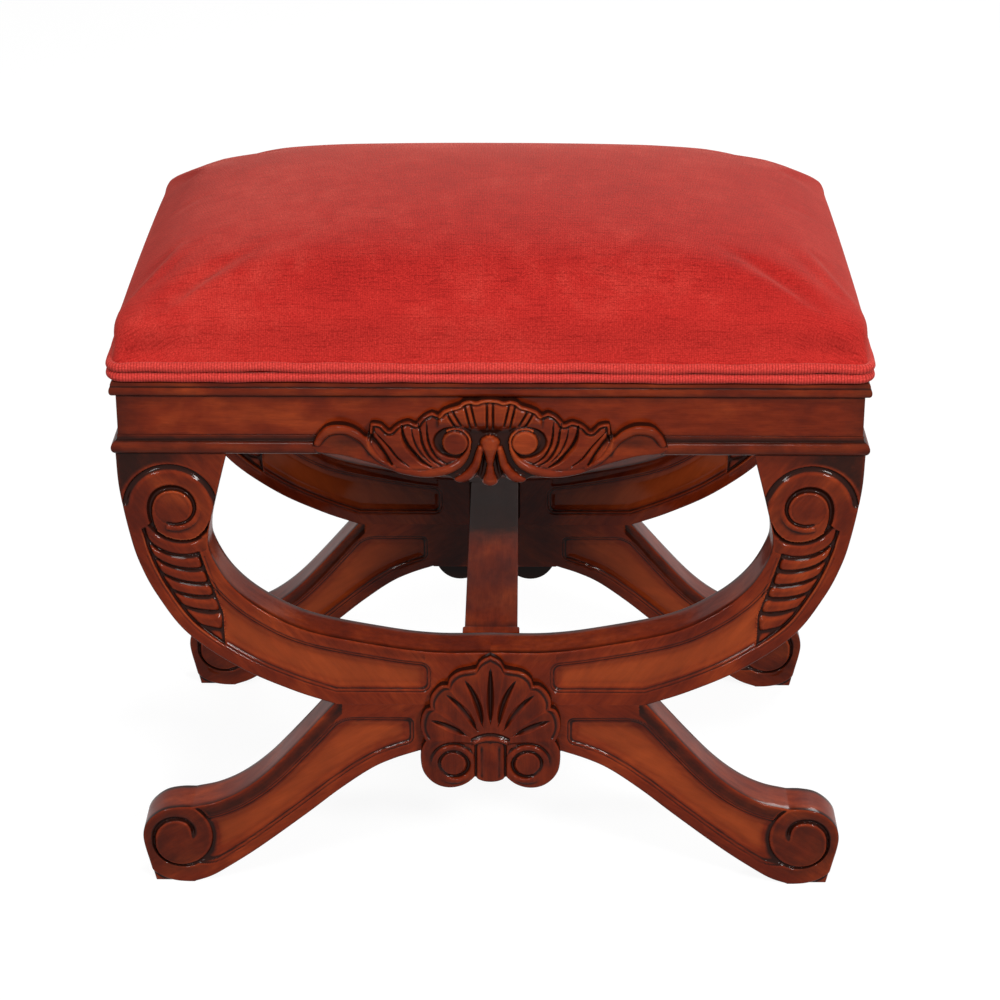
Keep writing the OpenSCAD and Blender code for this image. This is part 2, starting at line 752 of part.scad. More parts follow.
// Stretcher between the two frames, flat on top, with a collar at each end
stretcher_half_l = half_d - frame_t;
module stretcher_section(grow = 0) {
  w = stretcher_w / 2 + grow;
  z0 = u_z - stretcher_h;
  polygon([[-w, u_z], [w, u_z], [w, z0 + stretcher_chamfer], [w - stretcher_chamfer, z0],
    [stretcher_chamfer - w, z0], [-w, z0 + stretcher_chamfer]]);
}

module stretcher() {
  color(MAHOGANY) difference() {
    union() {
      slab(-stretcher_half_l, stretcher_half_l) stretcher_section();
      slab(-stretcher_half_l, collar_l - stretcher_half_l) stretcher_section(collar_out);
      slab(stretcher_half_l - collar_l, stretcher_half_l) stretcher_section(collar_out);
    }
    for (left = [false, true]) for (back = [false, true])
      at_frame(left, back) stretcher_dowel(play, end_room);
  }
}

// Seat. A ring is a rectangle with round corners, its sides drawn in between them.
corner_steps = 5;
side_steps = 6;
belly_a = half_w + cushion_over;
belly_b = half_d + cushion_over;
belly_z = seat_z + band_h + flare_h;
crown_power = 2.7;
CROWN_SHARES = [1, 0.985, 0.95, 0.895, 0.82, 0.72, 0.59, 0.43, 0.24];

function ring_corner(a, b, r, q) = [
  for (i = [0 : corner_steps]) let (t = 90 * q + 90 * i / corner_steps)
    [(q == 0 || q == 3 ? 1 : -1) * (a - r), (q < 2 ? 1 : -1) * (b - r)] + r * [cos(t), sin(t)]
];
function ring_side(a, b, r, pull, q) =
  let (across = q % 2 == 0, l = (across ? a : b) - r, s = q < 2 ? 1 : -1)
  [for (i = [1 : side_steps - 1]) let (t = 1 - 2 * i / side_steps, in = pull * (1 - t * t))
    across ? [s * l * t, s * (b - in)] : [-s * (a - in), s * l * t]];
function ring(a, b, r, z, pull) = [
  for (q = [0 : 3]) for (p = concat(ring_corner(a, b, r, q), ring_side(a, b, r, pull, q))) [p.x, p.y, z]
];

// A closed skin over rings of equal count, with a point at each end
module skin(first, rings, last) {
  n = len(rings[0]);
  m = len(rings);
  points = concat([first], [for (r = rings) for (p = r) p], [last]);
  end = len(points) - 1;
  // Two triangles for each step i along the ring k
  bands = [for (k = [0 : m - 2]) for (i = [0 : n - 1])
    let (a = 1 + k * n + i, b = 1 + k * n + (i + 1) % n) each [[a, b, b + n], [a, b + n, a + n]]];
  top = 1 + (m - 1) * n;
  faces = concat([for (i = [0 : n - 1]) [0, 1 + (i + 1) % n, 1 + i]], bands,
    [for (i = [0 : n - 1]) [end, top + i, top + (i + 1) % n]]);
  polyhedron(points, faces);
}

// Rings of the crown, moved in by t from the outer surface. They grow rounder towards its top.
crown_round_share = 0.75;
function crown_z(s, h) = belly_z + h * pow(1 - pow(s, crown_power), 1 / crown_power);
function crown_rings(t) = [
  for (s = CROWN_SHARES)
    let (a = (belly_a - t) * s, b = (belly_b - t) * s,
        r = mix((cushion_corner - t) * s, b, crown_round_share * (1 - s)))
      ring(a, b, r, crown_z(s, crown_h - t), draw_in * s * s)
];
function crown_top(t) = [0, 0, belly_z + crown_h - t];
function low_ring(z, t, inset) =
  ring(belly_a - t - inset, belly_b - t - inset, cushion_corner - t - inset, z, 0);

// The side leaves the piping upright, turns out part of the way up and meets the crown
flare_share = 0.4;
flare_in_share = 0.32;
flare_z = seat_z + band_h + flare_h * flare_share;
function flare_ring(t) = low_ring(flare_z, t, cushion_in * flare_in_share);

module seat_cover() {
  outer = concat([low_ring(seat_z, 0, cushion_in), low_ring(seat_z + band_h, 0, cushion_in),
    flare_ring(0)], crown_rings(0));
  inner = concat([low_ring(board_z, cover_t, cushion_in),
    low_ring(seat_z + band_h, cover_t, cushion_in), flare_ring(cover_t)], crown_rings(cover_t));
  margin_x = belly_a - cushion_in - margin_w;
  margin_y = belly_b - cushion_in - margin_w;
  margin = [for (z = [board_z, seat_z]) ring(margin_x, margin_y, cover_t, z, 0)];
  color(VELVET) skin(crown_top(cover_t), concat(backwards(inner), margin, outer), crown_top(0));
}

soft_gap = 0.3;
pad_in = cover_t + soft_gap;
module seat_pad() {
  band_top = max(seat_z + band_h, board_top + soft_gap);
  rings = concat([low_ring(board_top, pad_in, cushion_in), low_ring(band_top, pad_in, cushion_in),
    flare_ring(pad_in)], crown_rings(pad_in));
  color(FOAM) skin([0, 0, board_top], rings, crown_top(pad_in));
}

module seat_board() {
  plan = low_ring(0, pad_in, cushion_in);
  color(PLAIN_WOOD) difference() {
    translate([0, 0, board_z]) linear_extrude(board_t) polygon([for (p = plan) [p.x, p.y]]);
    each_corner() screw_at_corner(play);
  }
}

// The dust cover lies between the rails and laps over the cover's margin
dust_gap = 1;
module dust_cover() {
  x = half_w - rail_t - dust_gap;
  y = half_d - rail_t - dust_gap;
  color(CAMBRIC) difference() {
    translate([-x, -y, seat_z - dust_t]) cube([2 * x, 2 * y, dust_t]);
    each_corner() screw_at_corner(play);
  }
}

// Double piping round the foot of the cushion
module piping(z, $fn = 16) {
  a = belly_a - cushion_in + welt_r;
  b = belly_b - cushion_in + welt_r;
  r = cushion_corner - cushion_in + welt_r;
  color(PIPING) translate([0, 0, z]) union() {
    each_corner() translate([a - r, -(b - r), 0]) rotate([0, 0, 270])
      rotate_extrude(angle = 90) translate([r, 0]) circle(r = welt_r);
    for (back = [-1, 1]) translate([r - a, back * b, 0]) rotate([0, 90, 0])
      cylinder(r = welt_r, h = 2 * (a - r));
    for (side = [-1, 1]) translate([side * a, r - b, 0]) rotate([-90, 0, 0])
      cylinder(r = welt_r, h = 2 * (b - r));
  }
}

module welt_lower() { piping(seat_z + welt_r); }
module welt_upper() { piping(seat_z + 3 * welt_r); }

rail_front();
rail_back();
rail_left();
rail_right();
top_bead_front();
top_bead_back();
top_bead_left();
top_bead_right();
low_bead_front();
low_bead_back();
low_bead_left();
low_bead_right();
corner_blocks();
crest_front();
crest_back();
front_arm_left();
front_arm_right();
back_arm_left();
back_arm_right();
front_leg_left();
front_leg_right();
back_leg_left();
back_leg_right();
plaque_front();
plaque_back();
stretcher();
frame_dowels();
rail_dowels();
stretcher_dowels();
seat_board();
seat_pad();
seat_cover();
welt_lower();
welt_upper();
dust_cover();
seat_screws();
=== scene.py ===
import math

import bmesh
import bpy
import numpy as np
from mathutils import Matrix, Vector


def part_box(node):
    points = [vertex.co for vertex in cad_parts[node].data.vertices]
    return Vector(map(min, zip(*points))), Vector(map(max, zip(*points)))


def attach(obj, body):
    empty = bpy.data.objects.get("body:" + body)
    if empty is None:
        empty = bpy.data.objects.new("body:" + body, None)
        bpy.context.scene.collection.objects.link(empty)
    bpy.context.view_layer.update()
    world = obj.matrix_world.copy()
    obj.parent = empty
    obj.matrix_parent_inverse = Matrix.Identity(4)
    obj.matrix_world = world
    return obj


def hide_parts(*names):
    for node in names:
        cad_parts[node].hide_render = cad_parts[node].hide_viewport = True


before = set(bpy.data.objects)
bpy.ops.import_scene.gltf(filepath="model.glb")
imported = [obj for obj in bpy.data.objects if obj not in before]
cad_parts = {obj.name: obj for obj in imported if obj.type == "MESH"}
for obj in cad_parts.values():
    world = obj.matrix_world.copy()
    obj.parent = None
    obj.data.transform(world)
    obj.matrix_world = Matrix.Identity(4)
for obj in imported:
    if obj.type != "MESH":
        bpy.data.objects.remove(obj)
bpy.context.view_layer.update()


# Legs. Each crossed frame stands on two splayed legs, sawn from thick mahogany board.
# A sunk panel and a foot scroll are carved into both faces, and the edges are eased by
# hand before the French polish.
MM = 0.001
half_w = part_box("rail_right")[1].x / MM
half_d = -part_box("rail_front")[0].y / MM
leg_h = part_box("rail_front")[0].z / MM
seam_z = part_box("front_arm_right")[0].z / MM
frame_t = 36.0
crotch_x = 120.3
arch_z = 119.0
arris_r = 1.5
# Size of the mesh's cells on a carved face
cell = 0.85
curve_steps = 8
# Points of the outlines, as shares between the crotch or the middle and the rail's end,
# and between the floor and the glue line or the arch
LEG_UPPER_SHARES = [(0, 1), (0.222, 0.751), (0.361, 0.609), (0.491, 0.51), (0.614, 0.451),
                    (0.737, 0.422)]
FOOT_SHARES = [(0.737, 0.422), (0.809, 0.421), (0.883, 0.406), (0.942, 0.368), (0.981, 0.319),
               (0.995, 0.263), (0.989, 0.2), (0.968, 0.11), (0.943, 0)]
LEG_LOWER_SHARES = [(0.199, 1), (0.273, 0.939), (0.34, 0.86), (0.432, 0.702), (0.525, 0.521),
                    (0.665, 0.261), (0.76, 0.105), (0.807, 0.039), (0.853, 0)]


def placed(shares, low, high):
    return np.array(low) + (np.array(high) - np.array(low)) * np.array(shares)


def smooth_line(points, steps=curve_steps):
    """The same smooth curve through the points as the sawn outline has."""
    p = np.array(points, float)
    ends = np.vstack([2 * p[0] - p[1], p, 2 * p[-1] - p[-2]])
    t = np.linspace(0, 1, steps, endpoint=False)[:, None]
    spans = []
    for i in range(len(p) - 1):
        a, b, c, d = ends[i:i + 4]
        bend = (2 * a - 5 * b + 4 * c - d) * t ** 2 + (3 * b - a - 3 * c + d) * t ** 3
        spans.append(0.5 * (2 * b + (c - a) * t + bend))
    return np.vstack(spans + [p[-1:]])


def length_of(line):
    return np.linalg.norm(np.diff(line, axis=0), axis=1).sum()


def spaced(line, count):
    step = np.linalg.norm(np.diff(line, axis=0), axis=1)
    at = np.concatenate([[0], np.cumsum(step)])
    want = np.linspace(0, at[-1], count)
    return np.stack([np.interp(want, at, line[:, k]) for k in range(line.shape[1])], 1)


def matched(pairs):
    """Rows of two edges, span by span, about a cell apart on the longer edge."""
    first, second = [], []
    for a, b in pairs:
        count = max(3, int(max(length_of(a), length_of(b)) / cell) + 1)
        start = 1 if first else 0
        first.append(spaced(a, count)[start:])
        second.append(spaced(b, count)[start:])
    return np.vstack(first), np.vstack(second)


def across(first, second, near=(0, 0.25, 0.6, 1.0, 1.5), width=60.0):
    """Points from one edge of each row to the other, closer together at both edges."""
    gap = np.linalg.norm(second - first, axis=1)[:, None]
    near = np.array(near)[None, :]
    inner = np.linspace(0, 1, int(width / cell))[None, 1:-1]
    margin = near[:, -1:]
    shares = np.hstack([near / gap, (margin + (gap - 2 * margin) * inner) / gap,
                        1 - near[:, ::-1] / gap])
    return first[:, None, :] + (second - first)[:, None, :] * shares[:, :, None]


def nearest(points, line):
    """Distance of each point to a line, and how far along the line's points it is."""
    best = np.full(points.shape[:-1], 1e9)
    where = np.zeros(points.shape[:-1])
    for k in range(len(line) - 1):
        step = line[k + 1] - line[k]
        t = np.clip(((points - line[k]) @ step) / (step @ step), 0, 1)
        gap = np.linalg.norm(points - line[k] - t[..., None] * step, axis=-1)
        closer = gap < best
        best = np.where(closer, gap, best)
        where = np.where(closer, k + t, where)
    return best, where


def polar(points, centre):
    """Distance of each point from a centre, and its direction in degrees."""
    at = points - centre
    return np.hypot(at[..., 0], at[..., 1]), np.degrees(np.arctan2(at[..., 1], at[..., 0]))


def turned_about(centre, r, angle):
    """Points at distances and directions in degrees from a centre."""
    return centre + np.stack([r * np.cos(np.radians(angle)), r * np.sin(np.radians(angle))], -1)


def ramp(low, high, value):
    t = np.clip((value - low) / (high - low), 0, 1)
    return t * t * (3 - 2 * t)


def bell(value, middle, width):
    """A soft hump, 1 at its middle."""
    return np.exp(-((value - middle) / width) ** 2)


def half_round(gap, half_width):
    """The section of a bead, 1 along its middle and 0 at its edges."""
    return np.sqrt(np.clip(1 - (gap / half_width) ** 2, 0, 1))


def rounded_min(a, b, r):
    return np.maximum(r, np.minimum(a, b)) - np.hypot(np.maximum(r - a, 0), np.maximum(r - b, 0))


def arris(gap, r=arris_r):
    """How far an eased edge falls back at a distance from it."""
    return r - np.sqrt(r ** 2 - np.clip(r - gap, 0, r) ** 2)


# Section of a sunk panel: the depth of each step, and where it starts and ends
PANEL_STEPS = [(1.1, -0.2, 0.7), (1.0, 2.2, 3.1), (0.9, 3.0, 9.0)]


def panel_depth(inside):
    """A sunk panel: two crisp steps with a small bead between them, then a flat ground."""
    steps = sum(deep * ramp(start, end, inside) for deep, start, end in PANEL_STEPS)
    return steps - 0.35 * bell(inside, 1.5, 0.5)


def panel_shade_and_light(inside):
    """Painted shade along a panel's edge, and painted light over its ground."""
    return (0.25 * np.exp(-np.maximum(inside - 3, 0) / 2) - 0.75 * ramp(2.5, 5.5, inside)) * (inside > 0)


def hollow(depth, reach):
    """How far each point lies below its neighbours, in mm: the places darkened by glaze and painted shade."""
    k = np.arange(-reach, reach + 1)
    weight = np.exp(-(k / (0.5 * reach)) ** 2)
    weight = weight / weight.sum()
    padded = np.pad(depth, reach, mode="edge")
    rows = sum(w * padded[i:i + depth.shape[0], :] for i, w in enumerate(weight))
    cols = sum(w * rows[:, i:i + depth.shape[1]] for i, w in enumerate(weight))
    return depth - cols


# Glaze and painted shade in the hollows, wear and painted light on the ridges
def hollow_glaze_and_shade(depth, fine, broad, weight):
    return np.maximum(hollow(depth, fine), weight * hollow(depth, broad))


def put_in_scene(name, data):
    made = bpy.data.objects.new(name, data)
    bpy.context.scene.collection.objects.link(made)
    return made


def read_points(mesh):
    points = np.zeros(len(mesh.vertices) * 3)
    mesh.vertices.foreach_get("co", points)
    return points.reshape(-1, 3)


def skin(name, rings, **fields):
    """A closed piece over rings of points. Open ends are filled, and end points merge."""
    rows, cols = rings.shape[:2]
    bm = bmesh.new()
    bmesh.ops.create_grid(bm, x_segments=cols, y_segments=rows - 1, size=1)
    mesh = bpy.data.meshes.new(name)
    bm.to_mesh(mesh)
    bm.free()
    flat = read_points(mesh)
    col = np.rint((flat[:, 0] + 1) / 2 * cols).astype(int) % cols
    row = np.rint((flat[:, 1] + 1) / 2 * (rows - 1)).astype(int)
    mesh.vertices.foreach_set("co", (rings[row, col] * MM).ravel())
    for field, values in fields.items():
        kind, key = ("FLOAT_VECTOR", "vector") if values.ndim == 3 else ("FLOAT", "value")
        layer = mesh.attributes.new(field, kind, "POINT")
        layer.data.foreach_set(key, values[row, col].astype(float).ravel())
    bm = bmesh.new()
    bm.from_mesh(mesh)
    bmesh.ops.remove_doubles(bm, verts=bm.verts, dist=1e-6)
    for face in bm.faces:
        face.smooth = True
    rims = [edge for edge in bm.edges if edge.is_boundary]
    if rims:
        caps = bmesh.ops.holes_fill(bm, edges=rims, sides=0)["faces"]
        for face in caps:
            face.smooth = False
            for edge in face.edges:
                edge.smooth = False
        bmesh.ops.triangulate(bm, faces=caps)
    bmesh.ops.recalc_face_normals(bm, faces=bm.faces)
    bm.to_mesh(mesh)
    bm.free()
    return put_in_scene(name, mesh)


def wood_grain(points, along, seed):
    """Grain coordinates of a board in metres: along the grain, across it, and through it."""
    u = np.array(along, float)
    u = u / np.linalg.norm(u)
    v = np.cross([0, 1, 0] if abs(u[1]) < 0.9 else [1, 0, 0], u)
    w = np.cross(u, v)
    shift = np.array([seed * 1.37, seed * 0.61, seed * 0.29])
    return np.stack([points @ u, points @ v, points @ w], -1) * MM + shift


def board(name, plan, relief, along, seed):
    """A carved board: the same relief on both faces, with straight sawn edges between."""
    depth, glaze_and_painted_shading = relief(plan)
    # The hollows take glaze and painted shade, the ridges wear and painted light, and the relief adds its own
    # glaze and painted shading
    shade = hollow_glaze_and_shade(depth, 4, 12, 1.1) + glaze_and_painted_shading
    sides = np.linspace(0, 1, 7)[1:-1]
    front = np.stack([plan[..., 0], depth, plan[..., 1]], -1)
    back = front * [1, -1, 1] + [0, frame_t, 0]
    inner = front[:, -1:] + (back[:, -1:] - front[:, -1:]) * sides[None, :, None]
    outer = back[:, :1] + (front[:, :1] - back[:, :1]) * sides[None, :, None]
    rings = np.concatenate([front, inner, back[:, ::-1], outer], 1)
    blank = np.zeros(inner.shape[:2])
    shades = np.concatenate([shade, blank, shade[:, ::-1], blank], 1)
    return skin(name, rings, recess=shades, grain=wood_grain(rings, along, seed))


def corner_copy(piece, name, left, back, seed):
    """The same piece for another corner of the stool, with its own stretch of grain."""
    mesh = piece.data.copy()
    mesh.transform(Matrix.Diagonal((-1 if left else 1, -1 if back else 1, 1, 1)))
    if left != back:
        mesh.flip_normals()
    values = np.zeros(len(mesh.vertices) * 3)
    mesh.attributes["grain"].data.foreach_get("vector", values)
    shifted = values.reshape(-1, 3) + [seed * 0.83, seed * 0.37, seed * 0.53]
    mesh.attributes["grain"].data.foreach_set("vector", shifted.ravel())
    return put_in_scene(name, mesh)


def stand(piece, node, material):
    """The piece stands for its node on the one body, and takes its finish."""
    piece.data.materials.clear()
    piece.data.materials.append(material)
    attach(piece, "root")
    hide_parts(node)


def on_each_corner(piece, kind, seed):
    """A carved board moves out to the frame's face and is repeated on the other corners."""
    piece.data.transform(Matrix.Translation((0, -half_d * MM, 0)))
    stand(piece, f"front_{kind}_right", mahogany)
    for number, (end, side) in enumerate([("front", "left"), ("back", "right"), ("back", "left")]):
        node = f"{end}_{kind}_{side}"
        copy = corner_copy(piece, node + "_carved", side == "left", end == "back", seed + number)
        stand(copy, node, mahogany)


def connect(tree, value, socket):
    """A socket takes another node's output, a colour or a number."""
    if isinstance(value, bpy.types.NodeSocket):
        tree.links.new(value, socket)
    elif isinstance(value, tuple) and socket.type == "RGBA":
        socket.default_value = (*value, 1)
    else:
        socket.default_value = value


def add(tree, kind, inputs=None, **settings):
    made = tree.nodes.new("ShaderNode" + kind)
    for key, value in settings.items():
        setattr(made, key, value)
    for key, value in (inputs or {}).items():
        connect(tree, value, made.inputs[key])
    return made


def stops(tree, fac, *colours):
    """A colour ramp from places and colours."""
    made = add(tree, "ValToRGB", {"Fac": fac})
    band = made.color_ramp
    while len(band.elements) < len(colours):
        band.elements.new(0.5)
    for element, (place, colour) in zip(band.elements, colours):
        element.position = place
        element.color = (*colour, 1)
    return made.outputs["Color"]


def new_material(name, settings):
    material = bpy.data.materials.new(name)
    material.use_nodes = True
    tree = material.node_tree
    shader = tree.nodes["Principled BSDF"]
    for key, value in settings.items():
        connect(tree, value, shader.inputs[key])
    return material, tree, shader


def maths(tree, operation, a, b=None, clamp=False):
    made = add(tree, "Math", {0: a}, operation=operation, use_clamp=clamp)
    if b is not None:
        connect(tree, b, made.inputs[1])
    return made.outputs["Value"]


def times(tree, a, b):
    return maths(tree, "MULTIPLY", a, b)


def plus(tree, a, b):
    return maths(tree, "ADD", a, b)


def ranged(tree, value, low, high, to_low=0.0, to_high=1.0):
    made = add(tree, "MapRange", {"Value": value, "From Min": low, "From Max": high,
                                  "To Min": to_low, "To Max": to_high})
    return made.outputs["Result"]


def noise(tree, vector, scale, detail=4.0, rough=0.55, stretch=(1, 1, 1), distortion=0.0):
    spread = add(tree, "Mapping", {"Vector": vector, "Scale": stretch}).outputs["Vector"]
    made = add(tree, "TexNoise", {"Vector": spread, "Scale": scale, "Detail": detail,
                                  "Roughness": rough, "Distortion": distortion})
    return made.outputs["Fac"]


def mixed(tree, fac, a, b, blend="MIX"):
    made = add(tree, "Mix", data_type="RGBA", blend_type=blend)
    for key, value in ((0, fac), (6, a), (7, b)):
        connect(tree, value, made.inputs[key])
    return made.outputs[2]


def toned(tree, share, colour, pattern, low, dark, high, light):
    """A colour multiplied by a pattern that runs from a dark to a light tone."""
    return mixed(tree, share, colour, stops(tree, pattern, (low, dark), (high, light)), "MULTIPLY")


def bumped(tree, shader, height, strength, distance, under=None):
    """Fine relief on a surface, over another relief where there is one."""
    inputs = {"Height": height, "Strength": strength, "Distance": distance}
    if under is not None:
        inputs["Normal"] = under
    normal = add(tree, "Bump", inputs).outputs["Normal"]
    tree.links.new(normal, shader.inputs["Normal"])
    return normal


def stained_mahogany(name, polish):
    """Mahogany under French polish: mottled figure, fine pores, dark glaze and painted shade in the hollows,
    and wear and painted light on the ridges.
    """
    material, tree, shader = new_material(name, {
        "Specular IOR Level": 0.02, "Specular Tint": (1.0, 0.55, 0.4), "Coat Weight": polish,
        "Coat Roughness": 0.07, "Coat IOR": 1.5})
    grain = add(tree, "Attribute", attribute_name="grain").outputs["Vector"]
    glaze_and_painted_shading = add(tree, "Attribute", attribute_name="recess").outputs["Fac"]
    cloud = noise(tree, grain, 26.0, 3.0, 0.5, (0.7, 1.3, 1.3), 0.5)
    streak = noise(tree, grain, 30.0, 5.0, 0.6, (0.5, 7, 7), 0.2)
    fleck = noise(tree, grain, 95.0, 4.0, 0.6, (0.55, 1.8, 1.8), 0.3)
    fibre = noise(tree, grain, 160.0, 4.0, 0.65, (0.35, 12, 12))
    pore = noise(tree, grain, 420.0, 2.0, 0.5, (0.12, 5, 5))
    tone = stops(tree, cloud, (0.3, (0.110, 0.0110, 0.0030)), (0.5, (0.170, 0.0185, 0.0038)),
                 (0.72, (0.255, 0.035, 0.0068)))
    tone = toned(tree, 0.45, tone, streak, 0.3, (0.6, 0.55, 0.55), 0.7, (1.2, 1.25, 1.25))
    tone = toned(tree, 0.5, tone, fleck, 0.32, (0.62, 0.56, 0.55), 0.68, (1.3, 1.35, 1.35))
    tone = toned(tree, 0.4, tone, fibre, 0.3, (0.65, 0.6, 0.55), 0.7, (1.2, 1.2, 1.25))
    pores = stops(tree, pore, (0.30, (1, 1, 1)), (0.37, (0, 0, 0)))
    tone = mixed(tree, times(tree, pores, 0.3), tone, (0.04, 0.009, 0.005))
    patch = noise(tree, grain, 55.0, 4.0, 0.6)
    # Glaze and painted shade darken the hollows; wear and painted light lighten the ridges and the panels'
    # grounds
    darkness = plus(tree, glaze_and_painted_shading, times(tree, plus(tree, patch, -0.5), 0.5))
    tone = mixed(tree, ranged(tree, darkness, 0.05, 0.62, 0.0, 0.95), tone, (0.014, 0.0042, 0.0028))
    wear_and_painted_light = ranged(tree, glaze_and_painted_shading, -0.25, -1.1, 0.0, 0.6)
    tree.links.new(mixed(tree, wear_and_painted_light, tone, (0.43, 0.080, 0.017)), shader.inputs["Base Color"])
    smear = noise(tree, grain, 30.0, 3.0, 0.5, (1, 2, 2))
    tree.links.new(ranged(tree, smear, 0.3, 0.7, 0.3, 0.4), shader.inputs["Roughness"])
    fine = bumped(tree, shader, fibre, 0.1, 0.0002)
    ripple = noise(tree, grain, 35.0, 2.0, 0.5, (0.6, 1, 1))
    tree.links.new(bumped(tree, shader, ripple, 0.2, 0.0015, fine), shader.inputs["Coat Normal"])
    return material


mahogany = stained_mahogany("mahogany", 0.17)

leg_upper = smooth_line(placed(LEG_UPPER_SHARES, (crotch_x, 0), (half_w, seam_z)))
foot_edge = smooth_line(placed(FOOT_SHARES, (crotch_x, 0), (half_w, seam_z)))
leg_lower = smooth_line(placed(LEG_LOWER_SHARES, (0, 0), (half_w, arch_z)))
leg_border = 10.0
leg_low_border = 8.0
# The panel starts this far from the middle and below the glue line, with a rounder corner
# between the two, and narrows before the foot
leg_panel_x = 0.215 * half_w
leg_panel_drop = 11.5
leg_panel_corner_r = 9.0
narrowing = (212, 240)
narrowed_by = 9.0
foot_c = placed([(0.9016, 0.238)], (0, 0), (half_w, seam_z))[0]
foot_turn = 427.0
# The foot's groove: its radius at the eye, the step out of it, and how far it opens at last
foot_eye_r = 13.0
foot_first_step = 4.7
foot_opening = 15.5
groove_half = 1.2
groove_deep = 2.6
foot_cove_deep = 2.0
foot_cove_w = 3.4
border_hollow = 0.5
# The toe is cut back below a round edge
toe_h = 16.0
toe_deep = 2.6
toe_c = placed([(0.8816, 0.2317)], (0, 0), (half_w, seam_z))[0]
toe_r = 36.6


def foot_radius(turned):
    """The foot's groove leaves its eye, runs round it once and then opens to the top edge."""
    opened = np.clip((turned - 185) / 240, 0, 1)
    return foot_eye_r + foot_first_step * ramp(0, 70, turned) + foot_opening * opened


def leg_relief(plan):
    """Depth of the carving of a leg below its face, and the extra glaze and painted shading that lie on it.
    """
    x, z = plan[..., 0], plan[..., 1]
    up = nearest(plan, np.vstack([leg_upper, foot_edge[1:]]))[0]
    low = np.minimum(nearest(plan, leg_lower)[0], z + 0.5)
    r, angle = polar(plan, foot_c)
    turned = (180 - angle) % 360
    last_turn = foot_radius(turned + 360 * (turned < foot_turn - 360))
    inside = rounded_min(up - leg_border, seam_z - leg_panel_drop - z, leg_panel_corner_r)
    inside = rounded_min(inside, low - leg_low_border - narrowed_by * ramp(*narrowing, x), 3)
    inside = rounded_min(inside, x - leg_panel_x, 5)
    in_panel = ramp(-0.4, 0.6, r - last_turn) * (x < foot_c[0]) * ((turned < 66) | (turned > 180))
    depth = panel_depth(inside) * in_panel
    # The groove winds out of the eye, with a cove along the outer side of its first turn
    share = np.linspace(0, 1, 240)
    spiral_r = foot_radius(foot_turn * share)
    gap, along = nearest(plan, turned_about(foot_c, spiral_r, 180 - foot_turn * share))
    along = along / (len(share) - 1)
    shown = ramp(0, 0.08, along) * ramp(0.6, 3.5, up)
    depth = np.maximum(depth, groove_deep * shown * (1 - ramp(0.1, groove_half + 0.5, gap)))
    first_turn = (r > np.interp(along, share, spiral_r)) * ramp(0, 0.1, along) * ramp(0.72, 0.6, along)
    depth = depth + first_turn * foot_cove_deep * np.exp(-(np.maximum(gap - 0.6, 0) / foot_cove_w) ** 1.5)
    toe_gap = polar(plan, toe_c)[0] - toe_r
    toe = ramp(238, 250, x) * (z < toe_h)
    depth = depth + toe_deep * ramp(-0.4, 2.0, toe_gap) * toe
    strip = np.clip(up / leg_border, 0, 1) * (up < leg_border) * (x > crotch_x - 6) * in_panel
    depth = depth + border_hollow * np.sin(np.pi * strip)
    # Painted shade along the panel's edge, over the upper border strip, beside the groove, at the toe's step
    # and near the middle above the arch, painted light over the panel's ground, and a darker tone round the
    # foot's eye
    glaze_and_painted_shading = panel_shade_and_light(inside) * in_panel + 0.55 * strip ** 0.5 + 0.25 * np.exp(-gap / 3) * shown
    glaze_and_painted_shading = glaze_and_painted_shading + 0.25 * np.exp(-np.abs(toe_gap) / 2) * toe + 0.3 * ramp(38, 26, r)
    glaze_and_painted_shading = glaze_and_painted_shading + 0.4 * np.exp(-np.maximum(x, 0) / 45) * (z > arch_z + 1)
    return depth + arris(np.minimum(up, low)), glaze_and_painted_shading


# The board's two edges run span by span: the hub, the straight leg, the foot's top, its toe.
# These are the points of the lower edge and of the foot where the spans meet.
hub_end = curve_steps
foot_start = 5 * curve_steps
toe_start = 7 * curve_steps
toe_edge = 4 * curve_steps
leg_plan = across(*matched([
    (np.array([[0, seam_z], [crotch_x, seam_z]]), np.vstack([[0, arch_z], leg_lower[:hub_end + 1]])),
    (leg_upper, leg_lower[hub_end:foot_start + 1]),
    (foot_edge[:toe_edge + 1], leg_lower[foot_start:toe_start + 1]),
    (foot_edge[toe_edge:], leg_lower[toe_start:]),
]))
on_each_corner(board("front_leg_right_carved", leg_plan, leg_relief, (0.86, 0, -0.51), 1), "leg", 2)


# Arms. The upper half of each crossed frame is a U of two arms, glued to the legs.
# Each arm is carved with a long sunk panel, a row of gadroons and a volute under the rail,
# the same on both faces.
u_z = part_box("stretcher")[1].z / MM
ARM_OUTER_SHARES = [(1.019, 1), (1.011, 0.86), (0.974, 0.688), (0.932, 0.567), (0.854, 0.438),
                    (0.711, 0.284), (0.461, 0.146), (0.207, 0.055), (0, 0)]
ARM_INNER_SHARES = [(0.71, 1), (0.749, 0.752), (0.771, 0.585), (0.763, 0.485), (0.715, 0.342),
                    (0.632, 0.216), (0.507, 0.107), (0.307, 0.033), (0.158, 0), (0, 0)]
arm_outer = smooth_line(placed(ARM_OUTER_SHARES, (crotch_x, seam_z), (half_w, leg_h)))
arm_inner = smooth_line(placed(ARM_INNER_SHARES, (0, u_z), (half_w, leg_h)))
arm_border = 10.0
arm_inner_border = 9.0
arm_panel_x = 0.165 * half_w
arm_panel_top = 298.0
volute_c = placed([(0.865, 0.783)], (0, seam_z), (half_w, leg_h))[0]
volute_start = 287.0
eye_r = 13.0
# The bead where the cut starts: how far it lies off the cut, its half width and height
bead_off = 3.0
bead_half = 2.1
bead_h = 1.5
